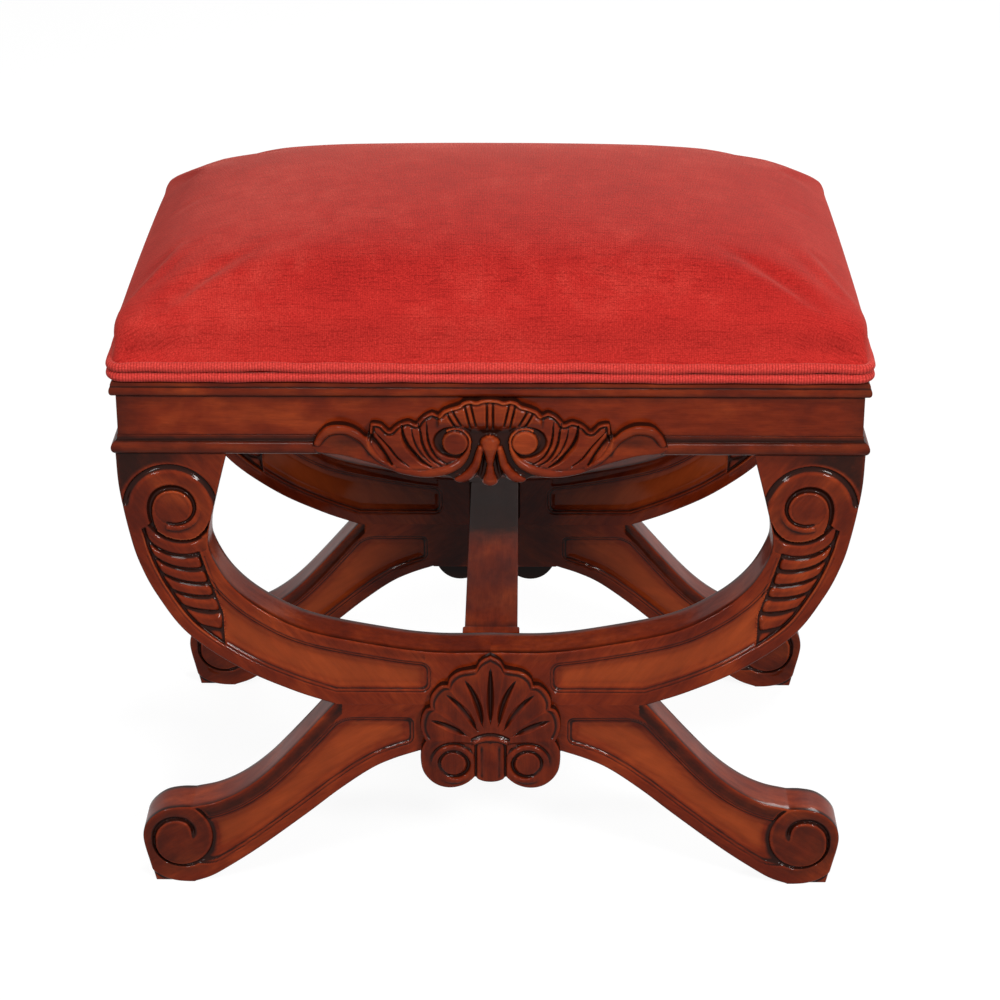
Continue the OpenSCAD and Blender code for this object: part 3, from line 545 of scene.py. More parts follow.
# The cove arched over the volute: where its slope starts and ends, and its steep outer side
arch_slope = (29.2, 34.2)
arch_side = (36.4, 34.9)
arch_deep = 2.7
# The volute's cut: how far it has turned, its radius, and how wide and deep it is there
VOLUTE_CUT = [(0, 12.3, 0.7, 0.8), (42, 13.6, 0.9, 1.8), (79, 15.5, 1.2, 2.3), (107, 16.3, 1.7, 2.7),
              (152, 16.2, 2.6, 3.1), (197, 15.6, 3.4, 3.2), (242, 15.9, 3.4, 3.2), (279, 16.0, 2.8, 3.2),
              (308, 17.4, 2.2, 3.4), (329, 20.0, 1.7, 3.6), (340, 22.0, 1.2, 3.6)]
# Distances of the gadroons' upper edges from the volute's eye, at their outer and inner ends
RIB_OUT = [19.5, 32.5, 42.0, 53.8, 67.2, 80.0, 98.0, 132.0]
RIB_IN = [29.0, 41.3, 54.0, 67.0, 78.0, 92.0, 108.0, 142.0]
RIB_INNER_RIM = np.array([(222.5, 301.0), (220.9, 296.5), (212, 266), (202.3, 236.1), (202.1, 205)])
# How deep the ground at the gadroons' ends lies, and how far each gadroon slopes down to it
rib_deep = 3.6
rib_slope = 4.2
# Each gadroon's top, its fall and cut on the upper side, and the same on the lower side
rib_top = 0.3
rib_fall, rib_cut = 3.1, 0.9
rib_low_fall, rib_low_cut = 1.6, 1.2
# How far its edges bow, and how far they hook back at the outer end
rib_bow = 6.0
rib_hook = 4.0
# The gadroons fan out below the volute between these directions
ribs_from = -36.0
ribs_to = -160.0


def gadroons(plan, r, a, from_border, inner):
    """Depth of the gadroons, and how far each point lies inside their patch and its rim.

    They hang one below another, each with a raised shoulder under a dark cut."""
    x, z = plan[..., 0], plan[..., 1]
    past_rim = x > np.interp(z, RIB_INNER_RIM[::-1, 1], RIB_INNER_RIM[::-1, 0])
    rim_gap = nearest(plan, RIB_INNER_RIM)[0] * np.where(past_rim, 1, -1)
    share = np.clip(from_border / np.maximum(from_border + rim_gap, 1e-3), 0, 1)
    curl = rib_bow * share * (1 - share) - rib_hook * np.exp(-share / 0.07)
    edges = [first + (last - first) * share + curl for first, last in zip(RIB_OUT, RIB_IN)]
    edges[0] = edges[0] - curl
    phase = np.full_like(r, -1.0)
    for i in range(len(edges) - 1):
        within = (r - edges[i]) / (edges[i + 1] - edges[i])
        phase = np.where(r >= edges[i], i + np.clip(within, 0, 0.999), phase)
    q = phase % 1
    on_first = phase < 1
    upper = rib_fall * (1 - ramp(0, np.where(on_first, 0.4, 0.44), q)) + rib_cut * bell(q, 0, 0.05)
    lower = rib_low_fall * ramp(0.8, 1.0, q) + rib_low_cut * bell(q, 1, 0.05)
    ribs = rib_top + upper + lower * ramp(-1, 1, rim_gap)
    ends = np.minimum(from_border, np.where(on_first, 9.0, rim_gap - 1.8 * (2 * q - 1) ** 2))
    ribs = ribs + (rib_deep - ribs) * (1 - ramp(0, rib_slope, ends))
    patch = np.minimum(from_border, np.where(on_first, inner - 0.6, rim_gap))
    patch = np.minimum(patch, np.where((a < 0) & (phase >= 0), np.radians(ribs_from - a) * r, -5))
    patch = np.minimum(patch, np.where(a < -90, np.radians(a - ribs_to) * r, 1e3))
    return ribs, patch, rim_gap


def volute(plan, r):
    """Depth of the cut that winds out of the volute's eye, and height of the bead at its start."""
    cut = smooth_line(VOLUTE_CUT)
    gap, along = nearest(plan, turned_about(volute_c, cut[:, 1], volute_start - cut[:, 0]))
    turned, line_r, wide, deep = (np.interp(along, np.arange(len(cut)), column) for column in cut.T)
    off = r - line_r
    cove = deep * (1 - ramp(0.08, 1.0, gap / np.where(off > 0, wide * 1.5, 1.3 + 0.2 * wide)))
    bead = half_round(off - bead_off, bead_half) * ramp(115, 60, turned) * ramp(0, 10, turned + 4 * (r > 14))
    return cove, bead_h * bead * (along > 0) * (r < 22)


def arm_relief(plan):
    """Depth of the carving of an arm below its face, and the extra glaze and painted shading that lie on it.
    """
    x, z = plan[..., 0], plan[..., 1]
    out = nearest(plan, arm_outer)[0]
    inner = nearest(plan, arm_inner)[0]
    low = np.where(x < crotch_x + 5, z - seam_z - arm_border, 1e3)
    inside = rounded_min(np.minimum(out - arm_border, low), inner - arm_inner_border, 2)
    inside = rounded_min(rounded_min(inside, x - arm_panel_x, 8), arm_panel_top - z, 2)
    depth = panel_depth(inside)
    r, a = polar(plan, volute_c)
    ribs, patch, rim_gap = gadroons(plan, r, a, out - arm_border, inner)
    carved = np.maximum(depth * (rim_gap < 0), ribs * ramp(-0.4, 0.8, patch))
    depth = np.where(patch > -0.4, carved, depth)
    depth = depth + 0.7 * bell(patch, -2.2, 0.7) * (z < 285) * (x > 205)
    cove, bead = volute(plan, r)
    depth = np.maximum(depth, cove * (patch < 0)) + 0.35 * (r / eye_r) ** 4 * (r < eye_r) - bead
    # A round cove arched over the volute, steep on its outer side
    arch_r = np.hypot(x - volute_c[0] - 1.3, z - volute_c[1])
    shown = ramp(-2, 10, a) * ramp(184, 172, a)
    depth = depth + arch_deep * ramp(*arch_slope, arch_r) * ramp(*arch_side, arch_r) * shown
    strip = np.sin(np.pi * np.clip(inner / arm_inner_border, 0, 1)) * (z < 300)
    depth = depth + 0.35 * strip * (x > 50)
    # Painted shade along the panel's edge, over the inner border strip, near the rail, in the volute's cut
    # and along the arch, painted light over the panel's ground, and a darker tone over the gadroons
    glaze_and_painted_shading = panel_shade_and_light(inside) * (patch < 0) + 0.15 * (patch > 0) + 0.12 * strip
    glaze_and_painted_shading = glaze_and_painted_shading + 0.2 * (z > volute_c[1] - 20)
    glaze_and_painted_shading = glaze_and_painted_shading + 0.4 * ramp(36, 40, arch_r) * shown * ramp(-20, 15, x - volute_c[0])
    glaze_and_painted_shading = glaze_and_painted_shading + 0.3 * ramp(0.2, 1.0, cove) * (patch < 0)
    glaze_and_painted_shading = glaze_and_painted_shading + 0.3 * np.exp(-np.abs(arch_r - 35) / 2.0) * shown
    return depth + arris(np.minimum(out, inner)), glaze_and_painted_shading


# The inner edge passes the outer edge's end here, and from there it faces the glue line
over_crotch = 53
arm_plan = across(*matched([
    (arm_outer, arm_inner[:over_crotch + 1]),
    (np.array([[crotch_x, seam_z], [0, seam_z]]), arm_inner[over_crotch:]),
]), width=68.0)
on_each_corner(board("front_arm_right_carved", arm_plan, arm_relief, (0.62, 0, 0.78), 5), "arm", 6)


# Shell plaques. A separately carved mahogany shell, with two volutes and a tongue below it,
# is glued over the middle of each crossed frame's outer face.
hub_z = 129.0
plaque_thick = 8.0
plaque_edge_r = 2.2
# The outline of one half, lobe by lobe, as the angle from straight up and the radius
PLAQUE_LOBES = [
    [(0, 76.1), (6, 72), (9.5, 66.3)],
    [(9.5, 66.3), (15, 66.3), (22, 66.8), (28.5, 64.9), (32.9, 60.7)],
    [(32.9, 60.7), (37, 63.2), (43.7, 62.6), (50.7, 60.3), (55.8, 56.2)],
    [(55.8, 56.2), (60, 58.4), (68.6, 57.8), (77.4, 55.4), (87, 50)],
    [(87, 50), (95.3, 53.7), (104.5, 55.8), (115.7, 57.7), (126, 56.9), (135, 53.9),
     (143.4, 48.6), (151, 41.2), (157, 32.6)],
    [(157, 32.6), (166.4, 33.9), (180, 34)],
]
# Angles of the ridges between the lobes, and each flute's angle, start, end and bow
RIDGE_ANGLES = [-9.5, 9.5, 32.9, 55.8, 87.0]
FLUTE_CUTS = [(0, 20, 65, 0), (19.7, 19, 58, 2.4), (38.5, 18, 54, 2.4), (66.5, 21, 50, 0.7)]
# The volutes' centre, and the radii of the eye, the cut round it, the bead and its groove
plaque_volute = np.array([28.8, -17.2])
plaque_eye_r = 9.4
plaque_cut_r = 10.9
plaque_bead_r = 14.4
plaque_groove_r = 17.6
flute_deep = 3.0
tongue_h = 7.4
tongue_half = 11.6


def plaque_edge(angles):
    points = np.vstack([smooth_line(lobe, 6) for lobe in PLAQUE_LOBES])
    return np.interp(np.abs(angles), points[:, 0], points[:, 1])


def plaque_shell(side, z, r, a, edge):
    """Height of the shell: lobes between ridges, flutes that fan out, and a lipped rim."""
    fan = ramp(88, 82, a)
    lobe = np.zeros_like(r)
    for a0, a1 in zip(RIDGE_ANGLES, RIDGE_ANGLES[1:]):
        q = (a - (a0 + a1) / 2) / ((a1 - a0) / 2)
        lobe = np.where(np.abs(q) < 1, 1 - q * q, lobe)
    height = plaque_thick - fan * ramp(10, 40, r) * (0.3 + 1.5 * lobe ** 0.8) + 0.9 * fan * ramp(55, 30, r)
    for angle, r0, r1, bow in FLUTE_CUTS:
        t = np.radians(angle)
        along = side * np.sin(t) + z * np.cos(t)
        share = np.clip((along - r0) / (r1 - r0), 0, 1)
        off = np.abs(side * np.cos(t) - z * np.sin(t) + 4 * bow * share * (1 - share))
        wide = 0.5 + 2.6 * np.sin(np.pi * share ** 0.85) ** 0.8 * (share > 0) * (share < 1)
        cut = np.clip(1 - off / wide, 0, 1) * ramp(r0 - 4, r0 + 4, along) * ramp(r1 + 1, r1 - 6, along)
        height = height - flute_deep * cut ** 0.8
    return height + 0.7 * (bell(edge, 1.8, 1.0) - bell(edge, 4.4, 1.1)) * fan


def plaque_relief(x, z, rim):
    """Height of the plaque off the frame's face. x and z are from its hub."""
    side = np.abs(x)
    r = np.hypot(side, z)
    a = np.degrees(np.arctan2(side, z))
    edge = rim - r
    height = plaque_shell(side, z, r, a, edge)
    # The volutes: a flush eye in a cut that deepens towards the tongue, ringed by a broad bead
    vr, va = polar(np.stack([side, z], -1), plaque_volute)
    height = height - 0.9 * ramp(26, 21, vr) * ramp(80, 92, a)
    around = bell(np.abs((va + 140 + 180) % 360 - 180), 0, 60)
    cut = bell(vr, plaque_cut_r + 1.4 * around, 0.8 + 1.0 * around)
    height = height - (1.2 + 1.8 * around) * cut * (1 - 0.8 * bell(va, -45, 30))
    over = ramp(100, 60, np.abs(va - 85)) + 0.9 * bell(va, -100, 26)
    height = height + 1.8 * half_round(vr - plaque_bead_r - 0.8 * around, 2.5) * over
    height = height - 1.1 * bell(vr, plaque_groove_r, 0.9) * ramp(75, 45, np.abs(va - 85))
    height = np.where(vr < plaque_eye_r, 7.7 + 0.8 * half_round(vr, 9.8), height)
    # The tongue, with a fine line near each side, hangs from a small arched bead
    tongue = ramp(12.4, 10.4, side) * ramp(6, 2, z)
    height = height * (1 - tongue) + (tongue_h - 0.012 * side ** 2) * tongue
    height = height - 1.9 * bell(side, tongue_half, 1.0) * ramp(4, 0, z)
    height = height - 1.2 * bell(side, 6.8, 1.7) * ramp(0, -6, z) * ramp(-34, -28, z)
    arch_z_at = 5.2 - 0.022 * side ** 2
    arch_gap = np.abs(z - arch_z_at)
    arch = half_round(arch_gap, 2.2) * ramp(14.5, 12.5, side)
    height = np.where(arch_gap < 2.2, np.maximum(height, 7.0 + 2.6 * arch), height)
    height = height - 1.8 * bell(z, arch_z_at + 3.8, 1.3) * (side < 15)
    return height - arris(edge, plaque_edge_r)


def on_front_and_back(piece, kind, seed):
    """A carving moves out to the front's face and is repeated on the back."""
    piece.data.transform(Matrix.Translation((0, -half_d * MM, 0)))
    stand(piece, kind + "_front", mahogany)
    stand(corner_copy(piece, kind + "_back_carved", False, True, seed), kind + "_back", mahogany)


turns = np.linspace(-180, 180, 481)[:-1]
rim_r = plaque_edge(turns)
shares = np.concatenate([np.linspace(0.004, 0.9, 72)[:-1], np.linspace(0.9, 1, 12)])
ring_r = shares[:, None] * rim_r[None, :]
ring_x = ring_r * np.sin(np.radians(turns))[None, :]
ring_z = ring_r * np.cos(np.radians(turns))[None, :]
raised = plaque_relief(ring_x, ring_z, np.broadcast_to(rim_r, ring_r.shape))
face = np.stack([ring_x, -raised, ring_z + hub_z], -1)
wall = np.stack([face[-1] * [1, t, 1] for t in (0.66, 0.33, 0.0)])
rings = np.concatenate([face, wall], 0)
# A darker tone, glaze and painted shade in the hollows, wear and painted light on the ridges, and painted
# shade on the wall round the edge
shade = 0.18 + hollow_glaze_and_shade(-raised, 3, 9, 1.2)
shades = np.concatenate([shade, np.full(wall.shape[:2], 0.8)], 0)
plaque = skin("plaque_front_carved", rings, recess=shades, grain=wood_grain(rings, (0, 0, 1), 11))
on_front_and_back(plaque, "plaque", 3)


# Stretcher. A flat-topped mahogany bar, dowelled between the two frames, with a small
# collar turned up at each end to hide the joint.
stretcher_half = 20.5
stretcher_low = u_z - 40.0
stretcher_chamfer = 6.0
stretcher_ease = 1.2
stretcher_half_l = half_d - frame_t
collar_out = 1.6
collar_in = stretcher_half_l - 9.0
# Painted shade darkens the back half, which stands in the dark under the seat
back_painted_shade = 0.75


def eased(corner_points, ease):
    """A section with each corner cut back by a small round."""
    c = np.array(corner_points, float)
    before, after = np.roll(c, 1, 0), np.roll(c, -1, 0)
    points = []
    for i in range(len(c)):
        u = (before[i] - c[i]) / np.linalg.norm(before[i] - c[i])
        v = (after[i] - c[i]) / np.linalg.norm(after[i] - c[i])
        for t in (0, 0.33, 0.67, 1):
            points.append(c[i] + ease * ((1 - t) ** 2 * u + t ** 2 * v))
    return np.array(points)


def stretcher_ring(y, grow):
    w, top, low = stretcher_half + grow, u_z, stretcher_low
    section = eased([(-w, top), (w, top), (w, low + stretcher_chamfer), (w - stretcher_chamfer, low),
                     (stretcher_chamfer - w, low), (-w, low + stretcher_chamfer)], stretcher_ease)
    dense = []
    for a, b in zip(section, np.roll(section, -1, 0)):
        parts = 4 if np.linalg.norm(b - a) > 5 else 1
        dense += [a + (b - a) * k / parts for k in range(parts)]
    dense = np.array(dense)
    return np.stack([dense[:, 0], np.full(len(dense), y), dense[:, 1]], -1)


collar = [(-stretcher_half_l, collar_out), (-collar_in - 0.8, collar_out),
          (-collar_in - 0.3, collar_out - 0.2), (-collar_in, collar_out - 0.7), (-collar_in + 0.1, 0.0)]
middle = [(y, 0.0) for y in np.linspace(-collar_in + 1.0, collar_in - 1.0, 24)]
stations = collar + middle + [(-y, grow) for y, grow in collar[::-1]]
rings = np.stack([stretcher_ring(y, grow) for y, grow in stations])
station_y = np.array([y for y, grow in stations])
# Glaze and painted shade in the collars' steps, and painted shade over the back half
dark = 0.5 * bell(np.abs(station_y), collar_in - 0.6, 1.0) + back_painted_shade * ramp(-10, 70, station_y)
shades = np.repeat(dark[:, None], rings.shape[1], 1)
stretcher = skin("stretcher_bar", rings, recess=shades, grain=wood_grain(rings, (0, 1, 0), 17))
stand(stretcher, "stretcher", stained_mahogany("mahogany_satin", 0.02))


# Dowels. Plain turned pins of pale wood hold the glue joints of the frames, the stretcher
# and the rails. They are cut to length and stay inside the wood.
def plain_timber(name, light, dark, scale):
    """Unfinished timber with straight grain and a few darker lines."""
    material, tree, shader = new_material(name, {"Roughness": 0.62})
    place = add(tree, "TexCoord").outputs["Object"]
    growth = noise(tree, place, scale, 3.0, 0.5, (0.6, 1, 5), 0.6)
    fibre = noise(tree, place, scale * 14, 4.0, 0.6, (1, 1, 0.15))
    tone = mixed(tree, 0.35, stops(tree, growth, (0.35, dark), (0.65, light)),
                 stops(tree, fibre, (0.35, dark), (0.65, light)))
    tree.links.new(tone, shader.inputs["Base Color"])
    bumped(tree, shader, fibre, 0.2, 0.0003)
    return material


def finish_node(node, material):
    """A CAD piece whose shape is right gets its finish."""
    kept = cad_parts[node]
    kept.data.materials.clear()
    kept.data.materials.append(material)


birch = plain_timber("birch", (0.52, 0.35, 0.19), (0.36, 0.22, 0.11), 22.0)
for node in ("frame_dowels", "rail_dowels", "stretcher_dowels"):
    finish_node(node, birch)


# Rails. Four mahogany boards make the apron, mitred at the corners, with long straight
# grain, and glaze and painted shade darken them against the mouldings.
seat_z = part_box("rail_front")[1].z / MM
rail_t = 22.0
top_bead_h = 12.0
low_bead_h = 15.0
# Glaze gathers at the mitres, over this reach
mitre_glaze = 0.35
mitre_reach = 1.2


def mitred_run(name, profile, shade, half_l, depth, stations, turned, seed):
    """A section run along one side of the apron, with its ends cut to the mitres.

    The profile is how far each point stands out from the rail's face, and its height."""
    out, z = profile[:, 0], profile[:, 1]
    rings = []
    for t in stations:
        along, off = t * (half_l + out), depth + out
        rings.append(np.stack([off, along, z] if turned else [along, -off, z], -1))
    rings = np.stack(rings)
    ends = np.exp(-((1 - np.abs(stations)) * half_l / mitre_reach))
    shades = np.maximum(np.repeat(shade[None, :], len(stations), 0), mitre_glaze * ends[:, None])
    direction = (0, 1, 0) if turned else (1, 0, 0)
    return skin(name, rings, recess=shades, grain=wood_grain(rings, direction, seed))


def add_other_length(piece, seed):
    """A moulding that stops against a carving goes on beyond it."""
    other = corner_copy(piece, piece.name + "_other_length", True, False, seed)
    bm = bmesh.new()
    bm.from_mesh(piece.data)
    bm.from_mesh(other.data)
    bm.to_mesh(piece.data)
    bm.free()
    bpy.data.objects.remove(other)


def apron_side(part, profile, shade, label, stop=None):
    """One part of the apron on its four sides. A stop leaves the middle of the long sides bare."""
    for side, other, half_l, depth, turned in (("front", "back", half_w, half_d, False),
                                               ("right", "left", half_d, half_w, True)):
        seed = 20 + turned + len(part)
        broken = stop is not None and not turned
        run = np.linspace(stop / half_l, 1, 13) if broken else np.linspace(-1, 1, 25)
        piece = mitred_run(f"{part}_{side}_{label}", profile, shade, half_l, depth, run, turned, seed)
        if broken:
            add_other_length(piece, seed + 2)
        stand(piece, f"{part}_{side}", mahogany)
        copy = corner_copy(piece, f"{part}_{other}_{label}", turned, not turned, seed + 1)
        stand(copy, f"{part}_{other}", mahogany)


low_edge, top_edge = leg_h + low_bead_h, seat_z - top_bead_h
face_z = np.concatenate([[leg_h], np.linspace(low_edge - 2, low_edge + 4, 9),
                         np.linspace(low_edge + 7, top_edge - 6, 6),
                         np.linspace(top_edge - 3, top_edge + 1, 7), [seat_z]])
rail_profile = np.concatenate([np.stack([np.zeros_like(face_z), face_z], 1),
                               [[-rail_t, seat_z], [-rail_t, leg_h]]])
# Glaze and painted shade on the face beside the beads
near_low = np.exp(-np.abs(face_z - low_edge) / 1.6)
near_top = np.exp(-np.abs(face_z - top_edge) / 1.8)
rail_shade = np.concatenate([0.35 * near_low + 0.7 * near_top, [0, 0]])
apron_side("rail", rail_profile, rail_shade, "board")


# Bead mouldings. Thin mahogany mouldings are planed in lengths, mitred and glued along the
# top and bottom of the apron: a quirked bead above, and a bead under a small cove below.
TOP_BEAD = np.array([(0, 0), (1.6, 0.1), (2.9, 0.6), (3.8, 1.5), (4.35, 2.8), (4.5, 4.2), (4.35, 5.6),
                     (3.95, 6.7), (3.45, 7.3), (3.1, 7.5), (3.25, 7.9), (3.35, 8.6), (3.2, 9.6),
                     (2.85, 10.6), (2.3, 11.4), (1.6, 12), (0, 12)])
# Painted shade over the whole bead, deeper where it meets the rail and in its quirk
top_dark = 0.12 + np.array([0.6, 0.3, 0.1, 0, 0, 0, 0, 0.1, 0.45, 0.7, 0.35, 0, 0, 0, 0.2, 0.4, 0.4])
apron_side("top_bead", TOP_BEAD + [0, top_edge], top_dark, "moulding")
low_bead_r = 5.5
low_bead_out = 5.2
low_bead_stop = 126.0
angles = np.radians(np.linspace(0, 180, 15))
low_round = np.stack([low_bead_out * np.sin(angles), low_bead_r - low_bead_r * np.cos(angles)], 1)
LOW_COVE = np.array([(1.3, 10.9), (0.85, 11.6), (0.6, 12.6), (0.55, 13.6), (0.75, 14.3), (0.6, 14.8),
                     (0, 15)])
low_profile = np.concatenate([low_round[:-1], LOW_COVE]) + [0, leg_h]
# Painted shade over the whole bead, deeper under its round, between the round and the cove, and where it
# meets the rail
low_dark = 0.3 + np.array([0.5, 0.3, 0.1, 0, 0, 0, 0, 0, 0, 0, 0, 0.1, 0.3, 0.6,
                           0.7, 0.4, 0.2, 0.1, 0, 0.1, 0.5])
apron_side("low_bead", low_profile, low_dark, "moulding", low_bead_stop)


# Crests. A piece of carved mahogany hangs on the middle of each long rail: a small shell
# between two scrolls with a drop below it, and leaves that sweep out to a smooth lobe.
crest_half_w = 131.0
crest_edge_r = 1.8
# The upper and lower outlines of one half: distance from the middle, and height
CREST_TOP = [(0, 416.3), (6.3, 415.8), (10.3, 414.5), (14.8, 415.3), (19.7, 414), (22.7, 411.6),
             (26, 410.4), (31.2, 408.6), (35, 406.6), (37.9, 403.6), (42.8, 405), (49.2, 401.7),
             (53, 397.6), (54.4, 395.7), (59.9, 398), (66.1, 396.2), (70, 393.8), (73.7, 390.2),
             (76.2, 392), (79.6, 395.3), (85.2, 396.5), (88.3, 394.8), (90.4, 385.4), (95.9, 390.1),
             (101.5, 393.5), (107.7, 395.3), (115, 395.3), (120.6, 393.5), (124.5, 389.5),
             (129.3, 382.8), (131, 376.5)]
CREST_LOW = [(0, 346.6), (4, 347), (6.6, 348.9), (8.4, 352.2), (10, 352.4), (12.5, 350.4),
             (16, 348.8), (21.5, 348.2), (27, 349.8), (31, 352), (37, 352.2), (43.7, 352.2),
             (53.2, 352.8), (61.6, 354.3), (67.2, 355.8), (75.6, 359.5), (92.5, 365), (109.3, 369.6),
             (126.2, 371.8), (131, 375.6)]
crest_eye = np.array([25.6, 381.0])
crest_eye_r = 9.6
# Heights off the rail's face: the leaves' ground, the shell, the wood cut back under the
# scrolls, and the feet of the side lobes, the drop, the sweep and the eye
crest_ground = 6.0
shell_h = 7.6
cut_back_h = 2.6
lobe_foot = 3.4
drop_foot = 3.6
sweep_foot = 4.6
eye_foot = 8.0
# Cuts between the leaves, from the tip down to the root, with half width, depth and step
CREST_CUTS = [
    ([(89.5, 389), (84.1, 380.3), (78.4, 371.8), (72.5, 363.4)], 2.8, 3.2, 1.2),
    ([(85.2, 389.5), (75.6, 377.9), (68.3, 368.1), (59.9, 361.5)], 1.1, 2.2, 0.9),
    ([(65, 394.4), (63.8, 385.2), (61, 377.9), (56.5, 371.8), (50.4, 365.6), (43.7, 361.3)], 2.5, 3.6, 1.4),
    ([(57.8, 394), (57, 386), (54.5, 378), (50.5, 371), (44, 364.5)], 1.0, 2.0, 0.7),
    ([(52.5, 396), (51.2, 388), (50, 380), (47, 372.5), (42.5, 366.5), (35.5, 361.8)], 1.4, 2.8, 0.8),
    ([(46.6, 397), (46.4, 388), (45.2, 380), (42.6, 373.5), (38.5, 367.8), (32, 363.6)], 1.3, 2.8, 0.8),
]
# The slits beside each reed of the shell: how far off it they lie, half width and depth
slit_off = 2.2
slit_half = 1.15
slit_deep = 3.2
# Reeds of the shell, from the top to the foot
CREST_REEDS = [((0, 413), (0, 391)), ((16.4, 411.5), (12.3, 392.5)), ((29.6, 405.5), (23.0, 393))]
# Ridges: the points of each, and its half widths and heights along it
CREST_SWEEP = [(15.4, 380), (16.2, 375), (18.8, 369), (23.6, 363.8), (30.6, 359.8), (39.8, 357),
               (50, 355.8), (64, 357.5), (80, 361.5), (96, 366.5)]
SWEEP_RIDGE = (CREST_SWEEP, (1.6, 1.9, 2.6, 3.6, 4.0, 3.9, 3.4, 3.0, 2.4, 1.4),
               (2.6, 3.0, 3.6, 4.2, 4.4, 4.2, 3.4, 2.6, 1.8, 0.8))
RIM_RIDGE = ([(127, 380), (123, 386.5), (118, 390.6), (111, 392), (104.5, 391), (98, 387.3),
              (92.8, 382.5), (89, 376.5), (84, 369.9), (78, 365), (71, 360.8)],
             (2.6, 3.4, 4.4, 4.6, 4.4, 4.4, 3.6, 2.6, 2.0, 1.8, 1.4),
             (2.4, 3.2, 4.0, 4.2, 4.0, 4.0, 3.4, 2.6, 2.2, 2.0, 1.2))
SIDE_LOBE = ([(7, 376), (8.1, 370.8), (9.9, 364.2), (13, 358.2), (17.2, 353.4), (23.5, 350)],
             (2.4, 3.0, 3.2, 3.6, 4.0, 3.2), (3.8, 4.2, 4.2, 4.2, 3.8, 2.8))
# The drop's half width and height, and the inner side of the scroll's sweep, by height
DROP_WIDTH = ([346, 349, 352, 356.2, 362.8, 369.5, 374, 378, 381, 384, 386, 387],
              [4.6, 6.0, 5.2, 3.4, 2.3, 3.6, 5.4, 7.0, 7.5, 6.3, 3.4, 0.3])
DROP_RISE = ([346, 351, 357, 363, 370, 377, 383, 387], [4.4, 5.6, 4.2, 3.6, 4.6, 6.2, 5.6, 3.0])
SWEEP_SIDE = ([354, 357.2, 360.2, 364.2, 369.4, 376.7, 381, 388, 392],
              [52, 39.8, 30.6, 23.3, 18.5, 14.6, 13.4, 15.9, 19])
drop_top = 387.0
drop_slit = np.array([(5.2, 370), (5.9, 362.8), (7.0, 356.2), (8.4, 352)])


def ridge(points, line, wide, tall):
    """A rounded ridge along a line. Its half width and height change along it."""
    gap, along = nearest(points, smooth_line(line, 6))
    share = along / (6 * (len(line) - 1))
    w = np.interp(share, np.linspace(0, 1, len(wide)), wide)
    h = np.interp(share, np.linspace(0, 1, len(tall)), tall)
    return h * half_round(gap, w)


def leaf_cut(points, line, wide, deep, step):
    """A V cut whose lower side stands up and whose upper side falls in, like lapped leaves."""
    curve = smooth_line(line, 6)
    gap, along = nearest(points, curve)
    k = np.minimum(along.astype(int), len(curve) - 2)
    way = np.diff(curve, axis=0)[k]
    off = points - curve[k]
    lower = way[..., 0] * off[..., 1] > way[..., 1] * off[..., 0]
    share = along / (len(curve) - 1)
    taper = np.sin(np.pi * np.clip(share, 0.05, 0.95)) ** 0.6
    lift = np.where(lower, np.exp(-gap / 4.0), -0.7 * np.exp(-gap / 3.0))
    return step * lift * taper - deep * np.clip(1 - gap / (wide * taper), 0, 1) ** 0.9


def crest_shell(points, z):
    """Height of the shell: broad lobes, and a thin reed between each two dark slits."""
    shell = shell_h - 2.8 * ramp(399, 391, z)
    for reed in CREST_REEDS:
        gap, along = nearest(points, np.array(reed, float))
        slit = np.clip(1 - np.abs(gap - slit_off) / slit_half, 0, 1) ** 0.8
        slit = slit * np.sin(np.pi * np.clip(along, 0.04, 0.96)) ** 0.4 * (along > 0) * (along < 1)
        shell = shell + 0.5 * ramp(2, 7, gap) - slit_deep * slit
    return shell


